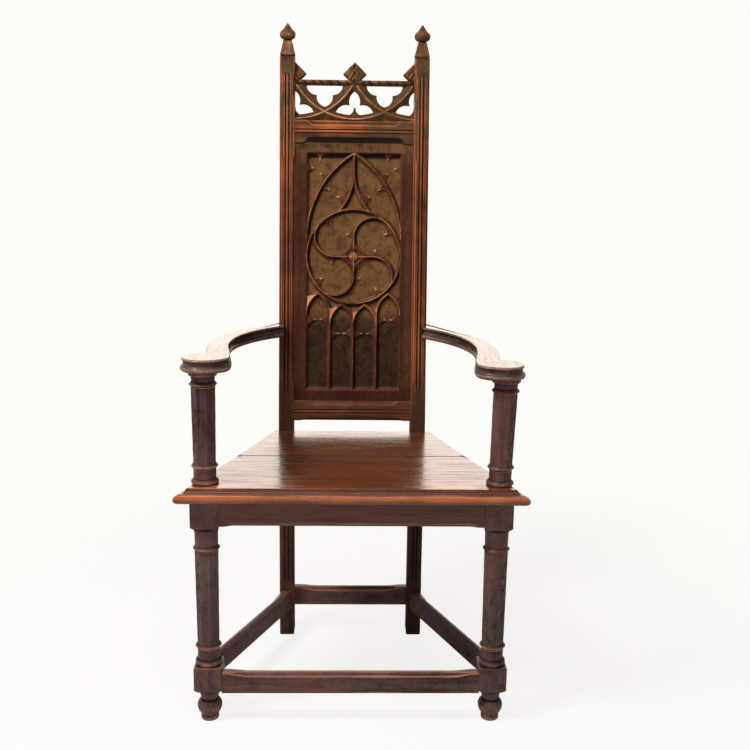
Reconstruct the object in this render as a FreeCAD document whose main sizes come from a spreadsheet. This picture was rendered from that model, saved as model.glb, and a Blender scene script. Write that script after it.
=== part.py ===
import FreeCAD, Part
import math
import operator
import os
import Sketcher
from FreeCAD import Placement, Rotation, Vector
from types import SimpleNamespace

# Joined oak armchair with a raked panel back, in millimetres.
# The front faces -Y, +Z is up, and the origin is on the floor under the middle of the chair.

SIZES = {
    # Overall layout
    "seat_height": 460.0,
    "seat_thick": 27.0,
    "leg_spread": 524.0,
    "leg_depth": 338.0,
    "front_axis": 217.0,
    # Joint clearances and tenons
    "fit": 0.2,
    "end_gap": 1.0,
    "tenon_thick": 8.0,
    "tenon_long": 22.0,
    # Rear posts
    "post_width": 31.0,
    "post_depth": 40.0,
    "post_top_depth": 34.0,
    "back_width": 306.0,
    "post_height": 1220.0,
    "rake_rise": 10.0,
    "back_lean": 109.0,
    "bead_gap": 4.0,
    "bead_groove": 2.6,
    "bead_depth": 2.0,
    "bead_start": 62.0,
    "bead_top_drop": 20.0,
    "post_chamfer": 5.0,
    "chamfer_start": 83.0,
    "chamfer_top_drop": 196.0,
    # Finials
    "finial_base": 30.0,
    "finial_neck": 15.0,
    "finial_flare": 33.0,
    "finial_ball": 32.0,
    "finial_ball_high": 19.0,
    "finial_shoulder": 23.0,
    "finial_tip_high": 15.0,
    "finial_point": 3.0,
    "finial_spigot": 12.0,
    "finial_spigot_long": 22.0,
    # Turned front legs and arm supports
    "block": 51.0,
    "block_cut": 6.0,
    "lower_block_base": 60.0,
    "lower_block_high": 51.0,
    "upper_block_high": 56.0,
    "shaft": 39.5,
    "shaft_core": 37.0,
    "drum": 40.5,
    "ring": 48.0,
    "ring_high": 10.0,
    "torus": 49.0,
    "torus_root": 43.5,
    "torus_high": 11.0,
    "lower_drum_high": 21.0,
    "upper_drum_high": 34.0,
    "foot_wide": 44.0,
    "foot_pad": 35.0,
    "foot_pad_high": 15.0,
    "foot_belly_base": 38.0,
    "foot_belly_high": 10.0,
    "foot_neck": 38.0,
    "foot_neck_high": 6.0,
    "support_base": 47.0,
    "support_base_high": 17.0,
    "support_drum_high": 10.0,
    "collar": 49.0,
    "collar_high": 10.0,
    "spigot": 18.0,
    "spigot_drop": 18.0,
    "spigot_rise": 14.0,
    # Seat rails and stretchers
    "rail_high": 48.0,
    "rail_thick": 22.0,
    "rail_set": 1.5,
    "rail_shoulder": 6.0,
    "rail_tenon_high": 21.0,
    "rear_rail_thick": 18.0,
    "rear_rail_set": 20.0,
    "side_set": 4.0,
    "stretcher_base": 61.0,
    "stretcher_high": 41.0,
    "stretcher_thick": 18.0,
    "stretcher_shoulder": 8.0,
    "stretcher_out": 9.0,
    "edge_chamfer": 7.0,
    "chamfer_stop": 20.0,
    # Seat boards
    "seat_side_lap": 51.0,
    "seat_post_lap": 17.0,
    "seat_nose": 48.0,
    "seat_rear_lap": 13.0,
    "front_board_depth": 213.0,
    "nose_round": 9.5,
    "mould_wide": 15.5,
    "mould_quirk": 2.0,
    "hollow_sag": 1.2,
    "seat_dowel": 10.0,
    "seat_dowel_long": 60.0,
    "seat_dowel_pitch": 150.0,
    "glue_block": 18.0,
    "glue_block_long": 44.0,
    "glue_block_pitch": 130.0,
    # Arms
    "arm_height": 680.0,
    "arm_thick": 24.0,
    "arm_pad": 78.0,
    "arm_neck": 31.0,
    "arm_neck_back": 150.0,
    "arm_outer_back": 190.0,
    "arm_lap": 11.0,
    "arm_end_front": 17.0,
    "arm_end_back": 31.0,
    "arm_hollow": 10.0,
    "arm_hollow_deep": 4.5,
    "arm_hollow_slope": 2.5,
    "arm_dowel": 8.0,
    "arm_dowel_long": 34.0,
    "arm_dowel_deep": 19.0,
    "arm_dowel_set": 8.5,
    # Back rails, the lower measured up from the start of the rake and the upper down from the posts' top
    "back_rail_set": 2.0,
    "back_rail_thick": 24.0,
    "lower_rail_base": 14.0,
    "lower_rail_high": 41.0,
    "upper_rail_drop": 116.0,
    "upper_rail_high": 52.0,
    "back_chamfer_high": 12.0,
    "back_chamfer_deep": 6.0,
    "back_chamfer_stop": 22.0,
    "back_tenon_set": 11.0,
    "back_tenon_margin": 12.0,
    "tongue": 8.0,
    "tongue_thick": 7.0,
    # Carved panel, its field measured in from the frame and its tracery down from the field's top
    "panel_set": 5.0,
    "panel_thick": 14.0,
    "relief": 7.0,
    "field_side": 25.0,
    "field_sill": 28.0,
    "field_head": 24.0,
    "rib": 8.0,
    "wheel_drop": 211.0,
    "arch_high": 175.0,
    "mullion_long": 36.0,
    "mullion_foot": 32.0,
    "outer_lancet_drop": 288.0,
    "inner_lancet_drop": 311.0,
    "lancet_rise": 43.0,
    "cusp_base": 15.0,
    "cusp_reach": 11.0,
    "cusp_point": 3.0,
    # Pierced cresting, its bar measured down from the posts' top
    "cresting_set": 6.0,
    "cresting_thick": 16.0,
    "bar_drop": 54.0,
    "bar_high": 10.5,
    "arcade_radius": 137.0,
    "arcade_sink": 5.0,
    "arcade_band": 17.0,
    "diamond": 23.0,
    "diamond_rise": 12.0,
    "crest_cusp_base": 18.0,
    "crest_cusp_reach": 9.0,
    "fleur_wide": 14.0,
    "fleur_high": 21.0,
    "crest_tenon_high": 13.0,
}

# Shares of a curve or a side and the angle on the wheel's rim at which the carving's cusps stand,
# and how far the cusps' sides are hollowed
ARCH_CUSP_SHARES = {"inner": 0.45, "outer": 0.5}
CREST_CUSP_SHARE = 0.72
RIM_CUSP_ANGLE = 35.0
CUSP_HOLLOW = 0.2

OPERATIONS = {"+": operator.add, "-": operator.sub, "*": operator.mul, "/": operator.truediv}


class Size:
    """A length with its value and the sheet expression that gives it."""

    def __init__(self, text, value):
        self.text = text
        self.value = value

    def __add__(self, other):
        return combine(self, "+", other)

    def __radd__(self, other):
        return combine(other, "+", self)

    def __sub__(self, other):
        return combine(self, "-", other)

    def __rsub__(self, other):
        return combine(other, "-", self)

    def __mul__(self, other):
        return combine(self, "*", other)

    def __rmul__(self, other):
        return combine(other, "*", self)

    def __truediv__(self, other):
        return combine(self, "/", other)

    def __neg__(self):
        return combine(0, "-", self)


def as_size(number):
    """Give a plain number the form of a size."""
    if isinstance(number, Size):
        return number
    return Size(f"({float(number)!r})", float(number))


def combine(left, sign, right):
    """Join two sizes with an arithmetic sign, in value and in expression."""
    left = as_size(left)
    right = as_size(right)
    return Size(f"({left.text} {sign} {right.text})", OPERATIONS[sign](left.value, right.value))


def root(square):
    """Square root of a size."""
    return Size(f"sqrt({square.text})", math.sqrt(square.value))


def arc_radius(chord_x, chord_y, sagitta):
    """Radius of the arc that stands the sagitta above its chord."""
    return ((chord_x * chord_x + chord_y * chord_y) / 4 + sagitta * sagitta) / (2 * sagitta)


def bind(item, path, length):
    """Tie one property of a document object to the sheet."""
    item.setExpression(path, as_size(length).text)


doc = FreeCAD.newDocument("armchair")
sheet = doc.addObject("Spreadsheet::Sheet", "Sizes")
for row, (alias, number) in enumerate(SIZES.items(), start=1):
    sheet.set(f"A{row}", alias)
    sheet.set(f"B{row}", str(number))
    sheet.setAlias(f"B{row}", alias)
doc.recompute()
size = SimpleNamespace(**{alias: Size(f"Sizes.{alias}", sheet.get(alias)) for alias in SIZES})
plain = SimpleNamespace(**{alias: sheet.get(alias) for alias in SIZES})

SIDES = {"left": -1, "right": 1}
pieces = []

# Places that several pieces share
leg_x = size.leg_spread / 2
front_y = -size.front_axis
back_y = front_y + size.leg_depth
seat_under = size.seat_height - size.seat_thick
arm_under = size.arm_height - size.arm_thick
post_outer = size.back_width / 2
post_inner = post_outer - size.post_width
post_x = post_outer - size.post_width / 2
rake_start = size.seat_height + size.rake_rise
rise = size.post_height - rake_start
slant = root(rise * rise + size.back_lean * size.back_lean)
rail_base = seat_under - size.rail_high
rail_tenon_base = rail_base + size.rail_shoulder
stretcher_tenon_base = size.stretcher_base + size.stretcher_shoulder
stretcher_tenon_high = size.stretcher_high - 2 * size.stretcher_shoulder
front_rail_y = front_y - size.block / 2 + size.rail_set + size.rail_thick / 2
front_stretcher_y = front_y - size.block / 2 + size.rail_set + size.stretcher_thick / 2
rear_rail_y = back_y + size.rear_rail_set + size.rear_rail_thick / 2
lower_rail_top = size.lower_rail_base + size.lower_rail_high
upper_rail_top = slant - size.upper_rail_drop
upper_rail_base = upper_rail_top - size.upper_rail_high
bar_base = slant - size.bar_drop
arm_slope_up = (arm_under + size.arm_thick / 2 - rake_start) * slant / rise
seat_front_half = leg_x + size.seat_side_lap
seat_rear_half = post_outer + size.seat_post_lap
seat_front_y = front_y - size.seat_nose
seat_rear_y = back_y + size.seat_rear_lap
seat_depth = seat_rear_y - seat_front_y
seam_y = seat_front_y + size.front_board_depth
seat_dowel_z = seat_under + size.seat_thick / 2
mortise_deep = size.tenon_long + size.end_gap


def raked(up, deep):
    """Y and Z of a point up the raked back and behind the front of the posts."""
    y = back_y + (up * size.back_lean + deep * rise) / slant
    z = rake_start + (up * rise - deep * size.back_lean) / slant
    return y, z


def raked_box(low, high, front, rear):
    """Corners in Y and Z of a rectangle that lies along the rake."""
    return [raked(low, front), raked(low, rear), raked(high, rear), raked(high, front)]


def box_corners(low_x, high_x, low_y, high_y):
    """Corners of a rectangle in a sketch."""
    return [(low_x, low_y), (high_x, low_y), (high_x, high_y), (low_x, high_y)]


def new_body(label):
    """Start a named piece."""
    body = doc.addObject("PartDesign::Body", label)
    body.Label = label
    pieces.append(body)
    return body


def new_sketch(body, name, plane, offset):
    """Start a sketch on one of the body's own planes, moved along the plane's normal."""
    sketch = body.newObject("Sketcher::SketchObject", name)
    support = next(item for item in body.Origin.OriginFeatures if item.Role == plane)
    sketch.AttachmentSupport = [(support, "")]
    sketch.MapMode = "FlatFace"
    bind(sketch, "AttachmentOffset.Base.z", offset)
    return sketch


def side_curve(start, end, bend):
    """One side of an outline as geometry, with its first and last vertex numbers.

    A bend holds the arc's radius and +1 where the arc's centre lies left of the way along, or -1.
    """
    first = Vector(start[0].value, start[1].value, 0)
    last = Vector(end[0].value, end[1].value, 0)
    if bend is None:
        return Part.LineSegment(first, last), 1, 2
    radius, turn = bend
    chord = last - first
    left = Vector(-chord.y, chord.x, 0).normalize()
    reach = math.sqrt(max(radius.value ** 2 - (chord.Length / 2) ** 2, 0))
    centre = (first + last) / 2 + left * reach * turn
    circle = Part.Circle(centre, Vector(0, 0, 1), radius.value)
    begin, finish = (first, last) if turn > 0 else (last, first)
    angles = [math.atan2(point.y - centre.y, point.x - centre.x) for point in (begin, finish)]
    if angles[1] < angles[0]:
        angles[1] += 2 * math.pi
    arc = Part.ArcOfCircle(circle, angles[0], angles[1])
    return (arc, 1, 2) if turn > 0 else (arc, 2, 1)


def outline(body, name, plane, corners, offset=0, bends=None, closed=True):
    """Sketch through the corners, each held by its distances from the sketch's origin."""
    bends = bends or {}
    sketch = new_sketch(body, name, plane, offset)
    corners = [(as_size(x), as_size(y)) for x, y in corners]
    count = len(corners) if closed else len(corners) - 1
    sides = [side_curve(corners[i], corners[(i + 1) % len(corners)], bends.get(i)) for i in range(count)]
    sketch.addGeometry([curve for curve, _, _ in sides], False)
    rules = []
    texts = []

    def rule(*values, size_of=None):
        rules.append(Sketcher.Constraint(*values))
        texts.append(size_of)

    for i in range(count):
        following = (i + 1) % count
        if closed or i + 1 < count:
            rule("Coincident", i, sides[i][2], following, sides[following][1])
    for i, (x, y) in enumerate(corners):
        holder, vertex = (i, sides[i][1]) if i < count else (i - 1, sides[i - 1][2])
        rule("DistanceX", -1, 1, holder, vertex, x.value, size_of=x)
        rule("DistanceY", -1, 1, holder, vertex, y.value, size_of=y)
    for i, (radius, _) in bends.items():
        rule("Radius", i, radius.value, size_of=radius)
    sketch.addConstraint(rules)
    for i, length in enumerate(texts):
        if length is not None:
            sketch.setExpression(f"Constraints[{i}]", length.text)
    return sketch


def circle(body, name, plane, centre, diameter, offset=0):
    """Sketch of one circle."""
    sketch = new_sketch(body, name, plane, offset)
    x, y = (as_size(value) for value in centre)
    sketch.addGeometry(Part.Circle(Vector(x.value, y.value, 0), Vector(0, 0, 1), diameter.value / 2), False)
    sketch.addConstraint([
        Sketcher.Constraint("DistanceX", -1, 1, 0, 3, x.value),
        Sketcher.Constraint("DistanceY", -1, 1, 0, 3, y.value),
        Sketcher.Constraint("Diameter", 0, diameter.value),
    ])
    for i, length in enumerate((x, y, diameter)):
        sketch.setExpression(f"Constraints[{i}]", length.text)
    return sketch


def pad(body, sketch, length, both_ways=False, against=False):
    """Raise a sketch along its normal, against it, or half each way."""
    feature = body.newObject("PartDesign::Pad", f"{sketch.Name}_pad")
    feature.Profile = sketch
    bind(feature, "Length", length)
    feature.SideType = "Symmetric" if both_ways else "One side"
    feature.Reversed = against
    sketch.Visibility = False
    return feature


def pocket(body, sketch, length, both_ways=False, along=False):
    """Cut a sketch into the body against its normal, along it, or half each way."""
    feature = body.newObject("PartDesign::Pocket", f"{sketch.Name}_pocket")
    feature.Profile = sketch
    bind(feature, "Length", length)
    feature.SideType = "Symmetric" if both_ways else "One side"
    feature.Reversed = along
    sketch.Visibility = False
    return feature


def revolve(body, sketch):
    """Turn a sketch once round the upright axis."""
    feature = body.newObject("PartDesign::Revolution", f"{sketch.Name}_turned")
    feature.Profile = sketch
    feature.ReferenceAxis = (sketch, ["V_Axis"])
    feature.Angle = 360
    return feature


def run_moulding(body, name, profile, path):
    """Cut a profile along a path of edges, mitred at its corners."""
    feature = body.newObject("PartDesign::SubtractivePipe", name)
    feature.Profile = profile
    feature.Spine = (path, [f"Edge{i + 1}" for i in range(path.GeometryCount)])
    feature.Transition = "Right corner"
    return feature


def place(body, x=0, y=0, z=0):
    """Tie a piece's place to the sheet."""
    for axis, distance in (("x", x), ("y", y), ("z", z)):
        bind(body, f"Placement.Base.{axis}", distance)


def mortise_x(body, name, corners, face, side, depth):
    """Cut a pocket from a piece's inner side face outwards; corners are in Y and Z."""
    pocket(body, outline(body, name, "YZ_Plane", corners, offset=face), depth, along=side > 0)


def grown(low, high):
    """A range with the joint's clearance at both ends."""
    return low - size.fit, high + size.fit


def tenon_mortise(body, name, side, face, centre_y, base, high):
    """Mortise in an inner side face for an upright tenon."""
    low_y, high_y = grown(centre_y - size.tenon_thick / 2, centre_y + size.tenon_thick / 2)
    low_z, high_z = grown(base, base + high)
    mortise_x(body, name, box_corners(low_y, high_y, low_z, high_z), face, side, mortise_deep)


def side_mortise(body, name, centre_x, face_y, base, high, along):
    """Mortise in a front or rear face for a side rail's or stretcher's tenon."""
    low_x, high_x = grown(centre_x - size.tenon_thick / 2, centre_x + size.tenon_thick / 2)
    low_z, high_z = grown(base, base + high)
    sketch = outline(body, name, "XZ_Plane", box_corners(low_x, high_x, low_z, high_z), offset=-face_y)
    pocket(body, sketch, mortise_deep, along=along)


def build_rear_post(name, side):
    """Rear post, upright to the seat and raked above it, with its grooves and mortises."""
    body = new_body(f"{name}_rear_post")
    top_y = back_y + size.back_lean
    profile = [
        (back_y, 0),
        (back_y + size.post_depth, 0),
        (back_y + size.post_depth, rake_start),
        (top_y + size.post_top_depth, size.post_height),
        (top_y, size.post_height),
        (back_y, rake_start),
    ]
    pad(body, outline(body, "post_profile", "YZ_Plane", profile), size.post_width, both_ways=True)
    place(body, x=side * post_x)
    inner = -side * size.post_width / 2
    tenon_mortise(body, "rail_mortise", side, inner, rear_rail_y, rail_tenon_base, size.rail_tenon_high)
    tenon_mortise(body, "stretcher_mortise", side, inner, rear_rail_y, stretcher_tenon_base,
                  stretcher_tenon_high)
    groove = grown(size.back_tenon_set, size.back_tenon_set + size.tongue_thick)
    back_tenon = grown(size.back_tenon_set, size.back_tenon_set + size.tenon_thick)
    for label, base, high in (("lower", size.lower_rail_base, size.lower_rail_high),
                              ("upper", upper_rail_base, size.upper_rail_high)):
        low, top = grown(*back_tenon_span(base, high))
        mortise_x(body, f"{label}_back_mortise", raked_box(low, top, *back_tenon), inner, side, mortise_deep)
    low, top = grown(lower_rail_top - size.tongue, upper_rail_base + size.tongue)
    mortise_x(body, "panel_groove", raked_box(low, top, *groove), inner, side, size.tongue + size.end_gap)
    for label, base in (("crest_foot", upper_rail_top), ("crest_bar", bar_base)):
        low, top = grown(base, base + size.crest_tenon_high)
        mortise_x(body, f"{label}_mortise", raked_box(low, top, *back_tenon), inner, side,
                  size.tongue + size.end_gap)
    side_mortise(body, "side_rail_mortise", 0, back_y, rail_tenon_base, size.rail_tenon_high, False)
    side_mortise(body, "side_stretcher_mortise", 0, back_y, stretcher_tenon_base, stretcher_tenon_high, False)
    for label, offset in (("left_bead", -size.bead_gap), ("right_bead", size.bead_gap)):
        strip = raked_box(size.bead_start, slant - size.bead_top_drop, -size.bead_depth, size.bead_depth)
        sketch = outline(body, label, "YZ_Plane", strip, offset=offset)
        pocket(body, sketch, size.bead_groove, both_ways=True)
    raked_chamfer(body, inner, side)
    hole = circle(body, "finial_hole", "XY_Plane", (0, top_y + size.post_top_depth / 2),
                  size.finial_spigot + 2 * size.fit, offset=size.post_height)
    pocket(body, hole, size.finial_spigot_long + size.end_gap)
    hole = circle(body, "arm_dowel_hole", "YZ_Plane", raked(arm_slope_up, size.arm_dowel_set),
                  size.arm_dowel + 2 * size.fit, offset=-inner)
    pocket(body, hole, size.arm_dowel_deep + size.end_gap, along=side < 0)


def raked_chamfer(body, inner, side):
    """Stopped chamfer up the inner front edge of a post, along its rake."""
    y, z = raked(size.chamfer_start, 0)
    cut = size.post_chamfer
    triangle = [(inner, y), (inner + side * cut, y), (inner, y + cut)]
    feature = pocket(body, outline(body, "inner_chamfer", "XY_Plane", triangle, offset=z),
                     slant - size.chamfer_start - size.chamfer_top_drop)
    feature.UseCustomVector = True
    feature.AlongSketchNormal = False
    feature.Direction = Vector(0, 0, 1)
    bind(feature, "Direction.y", size.back_lean / rise)


def back_tenon_span(base, high):
    """Lower and upper end of a back rail's tenon, clear of the panel's tongue."""
    return base + size.back_tenon_margin, base + high - size.back_tenon_margin


def squared(body, name, edge, corner, wide):
    """Square piece from the profile of one side, with its front and rear cut to match."""
    profile = edge + [(-x, z) for x, z in reversed(edge)]
    pad(body, outline(body, f"{name}_profile", "XZ_Plane", profile), wide, both_ways=True)
    for label, sign in (("front", -1), ("rear", 1)):
        triangle = [(sign * y, z) for y, z in corner]
        pocket(body, outline(body, f"{name}_{label}_cut", "YZ_Plane", triangle), wide, both_ways=True)


def build_finial(name, side):
    """Finial with a square flared base, a round bud and a spigot in the post's top."""
    body = new_body(f"{name}_finial")
    half = size.finial_base / 2
    neck = size.finial_neck / 2
    flare = size.finial_flare
    corner = [(half, 0), (half, flare), (neck, flare)]
    squared(body, "base", [(half, 0), (neck, flare)], corner, size.finial_base)
    tip = size.finial_flare + size.finial_ball_high + size.finial_tip_high
    bud = [
        (0, size.finial_flare / 2),
        (neck, size.finial_flare / 2),
        (neck, size.finial_flare),
        (size.finial_ball / 2, size.finial_flare + size.finial_ball_high / 2),
        (size.finial_shoulder / 2, size.finial_flare + size.finial_ball_high),
        (size.finial_point / 2, tip),
        (0, tip),
    ]
    revolve(body, outline(body, "bud_profile", "XZ_Plane", bud))
    pad(body, circle(body, "spigot", "XY_Plane", (0, 0), size.finial_spigot), size.finial_spigot_long,
        against=True)
    place(body, x=side * post_x, y=back_y + size.back_lean + size.post_top_depth / 2, z=size.post_height)


def blunt_bead(base, high, inner, outer):
    """Four corners of a turned bead with a flat face between two bevels."""
    bevel = high / 4
    top = base + high
    return [(inner / 2, base), (outer / 2, base + bevel), (outer / 2, top - bevel), (inner / 2, top)]


def sharp_ring(base):
    """Three corners of a turned ring that comes to an arris."""
    return [(size.drum / 2, base), (size.ring / 2, base + size.ring_high / 2),
            (size.drum / 2, base + size.ring_high)]


def octagon(body, name, offset, high):
    """Eight-sided shaft with one flat to the front."""
    half = size.shaft / 2
    short = half * math.tan(math.pi / 8)
    corners = [(half, -short), (half, short), (short, half), (-short, half),
               (-half, short), (-half, -short), (-short, -half), (short, -half)]
    pad(body, outline(body, name, "XY_Plane", corners, offset=offset), high)


def square_block(body, name, base, high):
    """Square block whose lower edges are cut back to a smaller square."""
    half = size.block / 2
    small = half - size.block_cut
    shoulder = base + size.block_cut
    edge = [(small, base), (half, shoulder), (half, base + high)]
    squared(body, name, edge, [(small, base), (half, base), (half, shoulder)], size.block)


def build_front_leg(name, side):
    """Front leg: bun foot, two square blocks and an octagonal shaft between turned rings."""
    body = new_body(f"{name}_front_leg")
    lower_top = size.lower_block_base + size.lower_block_high
    upper_base = seat_under - size.upper_block_high
    lower_ring = lower_top + size.torus_high + size.lower_drum_high
    upper_ring = upper_base - size.upper_drum_high - size.ring_high
    neck_base = size.lower_block_base - size.foot_neck_high
    belly_top = size.foot_belly_base + size.foot_belly_high
    profile = [(0, 0), (size.foot_pad / 2, 0), (size.foot_pad / 2, size.foot_pad_high)]
    profile += [(size.foot_wide / 2, size.foot_belly_base), (size.foot_wide / 2, belly_top)]
    profile += [(size.foot_neck / 2, neck_base), (size.foot_neck / 2, lower_top)]
    profile += blunt_bead(lower_top, size.torus_high, size.torus_root, size.torus)
    profile += [(size.drum / 2, lower_top + size.torus_high)]
    profile += sharp_ring(lower_ring)
    profile += [(size.shaft_core / 2, lower_ring + size.ring_high), (size.shaft_core / 2, upper_ring)]
    profile += sharp_ring(upper_ring)
    profile += [(size.drum / 2, seat_under), (0, seat_under)]
    revolve(body, outline(body, "turned_profile", "XZ_Plane", profile))
    octagon(body, "shaft", lower_ring + size.ring_high, upper_ring - lower_ring - size.ring_high)
    square_block(body, "lower_block", size.lower_block_base, size.lower_block_high)
    square_block(body, "upper_block", upper_base, size.upper_block_high)
    place(body, x=side * leg_x, y=front_y)
    inner = -side * size.block / 2
    tenon_mortise(body, "rail_mortise", side, inner, front_rail_y - front_y, rail_tenon_base,
                  size.rail_tenon_high)
    tenon_mortise(body, "stretcher_mortise", side, inner, front_stretcher_y - front_y,
                  stretcher_tenon_base, stretcher_tenon_high)
    side_mortise(body, "side_rail_mortise", -side * size.side_set, size.block / 2, rail_tenon_base,
                 size.rail_tenon_high, True)
    side_mortise(body, "side_stretcher_mortise", side * size.stretcher_out, size.block / 2,
                 stretcher_tenon_base, stretcher_tenon_high, True)
    hole = circle(body, "spigot_hole", "XY_Plane", (0, 0), size.spigot + 2 * size.fit, offset=seat_under)
    pocket(body, hole, size.spigot_drop + size.end_gap)


def build_arm_support(name, side):
    """Arm support: octagonal shaft between turned rings, with a spigot at each end."""
    body = new_body(f"{name}_arm_support")
    base_top = size.seat_height + size.support_base_high
    lower_ring = base_top + size.support_drum_high
    collar_base = arm_under - size.collar_high
    upper_ring = collar_base - size.support_drum_high - size.ring_high
    profile = [(0, size.seat_height)]
    profile += blunt_bead(size.seat_height, size.support_base_high, size.drum, size.support_base)
    profile += sharp_ring(lower_ring)
    profile += [(size.shaft_core / 2, lower_ring + size.ring_high), (size.shaft_core / 2, upper_ring)]
    profile += sharp_ring(upper_ring)
    profile += blunt_bead(collar_base, size.collar_high, size.drum, size.collar)
    profile += [(0, arm_under)]
    revolve(body, outline(body, "turned_profile", "XZ_Plane", profile))
    octagon(body, "shaft", lower_ring + size.ring_high, upper_ring - lower_ring - size.ring_high)
    lower = circle(body, "lower_spigot", "XY_Plane", (0, 0), size.spigot, offset=size.seat_height)
    pad(body, lower, size.seat_thick + size.spigot_drop, against=True)
    upper = circle(body, "upper_spigot", "XY_Plane", (0, 0), size.spigot, offset=arm_under)
    pad(body, upper, size.spigot_rise)
    place(body, x=side * leg_x, y=front_y)


def build_cross_rail(label, centre_y, thick, base, high, tenon_base, tenon_high, shoulder_x):
    """Straight rail or stretcher across the chair, with a tenon at each end."""
    body = new_body(label)
    section = box_corners(centre_y - thick / 2, centre_y + thick / 2, base, base + high)
    pad(body, outline(body, "section", "YZ_Plane", section), 2 * shoulder_x, both_ways=True)
    half = size.tenon_thick / 2
    tenon = box_corners(centre_y - half, centre_y + half, tenon_base, tenon_base + tenon_high)
    pad(body, outline(body, "tenons", "YZ_Plane", tenon), 2 * (shoulder_x + size.tenon_long), both_ways=True)
    return body


def stopped_chamfer(body, name, corner, turn_y, turn_z, shoulder_x):
    """Chamfer along a long edge, stopped short of both shoulders."""
    y, z = corner
    triangle = [(y, z), (y + turn_y * size.edge_chamfer, z), (y, z + turn_z * size.edge_chamfer)]
    sketch = outline(body, name, "YZ_Plane", triangle)
    pocket(body, sketch, 2 * (shoulder_x - size.chamfer_stop), both_ways=True)


def stretcher_chamfers(body, centre_y, thick, shoulder_x):
    """Stopped chamfers on both upper edges of a stretcher across the chair."""
    top = size.stretcher_base + size.stretcher_high
    stopped_chamfer(body, "front_chamfer", (centre_y - thick / 2, top), 1, -1, shoulder_x)
    stopped_chamfer(body, "rear_chamfer", (centre_y + thick / 2, top), -1, -1, shoulder_x)


def build_cross_rails():
    """Seat rails and stretchers at the front and the rear."""
    leg_shoulder = leg_x - size.block / 2
    rail = (rail_base, size.rail_high, rail_tenon_base, size.rail_tenon_high)
    stretcher = (size.stretcher_base, size.stretcher_high, stretcher_tenon_base, stretcher_tenon_high)
    body = build_cross_rail("front_seat_rail", front_rail_y, size.rail_thick, *rail, leg_shoulder)
    edge = (front_rail_y - size.rail_thick / 2, rail_base)
    stopped_chamfer(body, "lower_chamfer", edge, 1, 1, leg_shoulder)
    body = build_cross_rail("front_stretcher", front_stretcher_y, size.stretcher_thick, *stretcher,
                            leg_shoulder)
    stretcher_chamfers(body, front_stretcher_y, size.stretcher_thick, leg_shoulder)
    build_cross_rail("rear_seat_rail", rear_rail_y, size.rear_rail_thick, *rail, post_inner)
    body = build_cross_rail("rear_stretcher", rear_rail_y, size.rear_rail_thick, *stretcher, post_inner)
    stretcher_chamfers(body, rear_rail_y, size.rear_rail_thick, post_inner)


def build_side_rail(label, side, start_x, thick, base, high, tenon_base, tenon_high):
    """Rail or stretcher from a front leg to a rear post, with angled shoulders and square tenons."""
    body = new_body(label)
    start_y = front_y + size.block / 2
    run_x = start_x - post_x
    run_y = back_y - start_y
    half = thick / 2 * root(run_x * run_x + run_y * run_y) / run_y
    plan = [
        (side * (start_x - half), start_y),
        (side * (start_x + half), start_y),
        (side * (post_x + half), back_y),
        (side * (post_x - half), back_y),
    ]
    pad(body, outline(body, "plan", "XY_Plane", plan, offset=base), high)
    cheek = size.tenon_thick / 2
    ends = (("front_tenon", start_x, start_y - size.tenon_long), ("rear_tenon", post_x, back_y))
    for name, x, low_y in ends:
        corners = box_corners(side * x - cheek, side * x + cheek, low_y, low_y + size.tenon_long)
        pad(body, outline(body, name, "XY_Plane", corners, offset=tenon_base), tenon_high)


def seat_half_width(depth):
    """Half width of the seat at a distance behind its front edge."""
    return seat_front_half - (seat_front_half - seat_rear_half) * depth / seat_depth


def mould_profile(body, name, plane, edge, outward, offset):
    """Sketch of what the seat's edge moulding takes away: round nose, hollow and quirk."""
    round_top = seat_under + 2 * size.nose_round
    inner = edge - outward * size.nose_round
    hollow_x = edge - outward * size.mould_wide
    hollow_z = size.seat_height - size.mould_quirk
    spare = size.nose_round / 4
    corners = [
        (inner, seat_under - spare),
        (inner, seat_under),
        (edge, seat_under + size.nose_round),
        (inner, round_top),
        (hollow_x, hollow_z),
        (hollow_x, size.seat_height + spare),
        (edge + outward * spare, size.seat_height + spare),
        (edge + outward * spare, seat_under - spare),
    ]
    nose = size.nose_round
    hollow = arc_radius(size.mould_wide - nose, hollow_z - round_top, size.hollow_sag)
    bends = {1: (nose, outward), 2: (nose, outward), 3: (hollow, -outward)}
    return outline(body, name, plane, corners, offset=offset, bends=bends)


def mould_run(body, name, side, start_x, edge_y, outward):
    """Moulding from a point on the front or rear edge, round the corner and along a side past the seam."""
    beyond = size.front_board_depth - outward * size.mould_wide
    corner = (side * seat_half_width(edge_y - seat_front_y), edge_y)
    end = (side * seat_half_width(beyond), seat_front_y + beyond)
    path = outline(body, f"{name}_path", "XY_Plane", [(start_x, edge_y), corner, end], closed=False)
    profile = mould_profile(body, f"{name}_profile", "YZ_Plane", edge_y, outward, start_x)
    run_moulding(body, f"{name}_moulding", profile, path)


def dowel_places():
    """Places across the seat of the dowels in the seam."""
    return [("left", -size.seat_dowel_pitch), ("middle", as_size(0)), ("right", size.seat_dowel_pitch)]


def seam_holes(body, along):
    """Dowel holes in a seat board's edge at the seam."""
    for name, x in dowel_places():
        hole = circle(body, f"{name}_dowel_hole", "XZ_Plane", (x, seat_dowel_z),
                      size.seat_dowel + 2 * size.fit, offset=-seam_y)
        pocket(body, hole, size.seat_dowel_long / 2 + size.end_gap, along=along)


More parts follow.
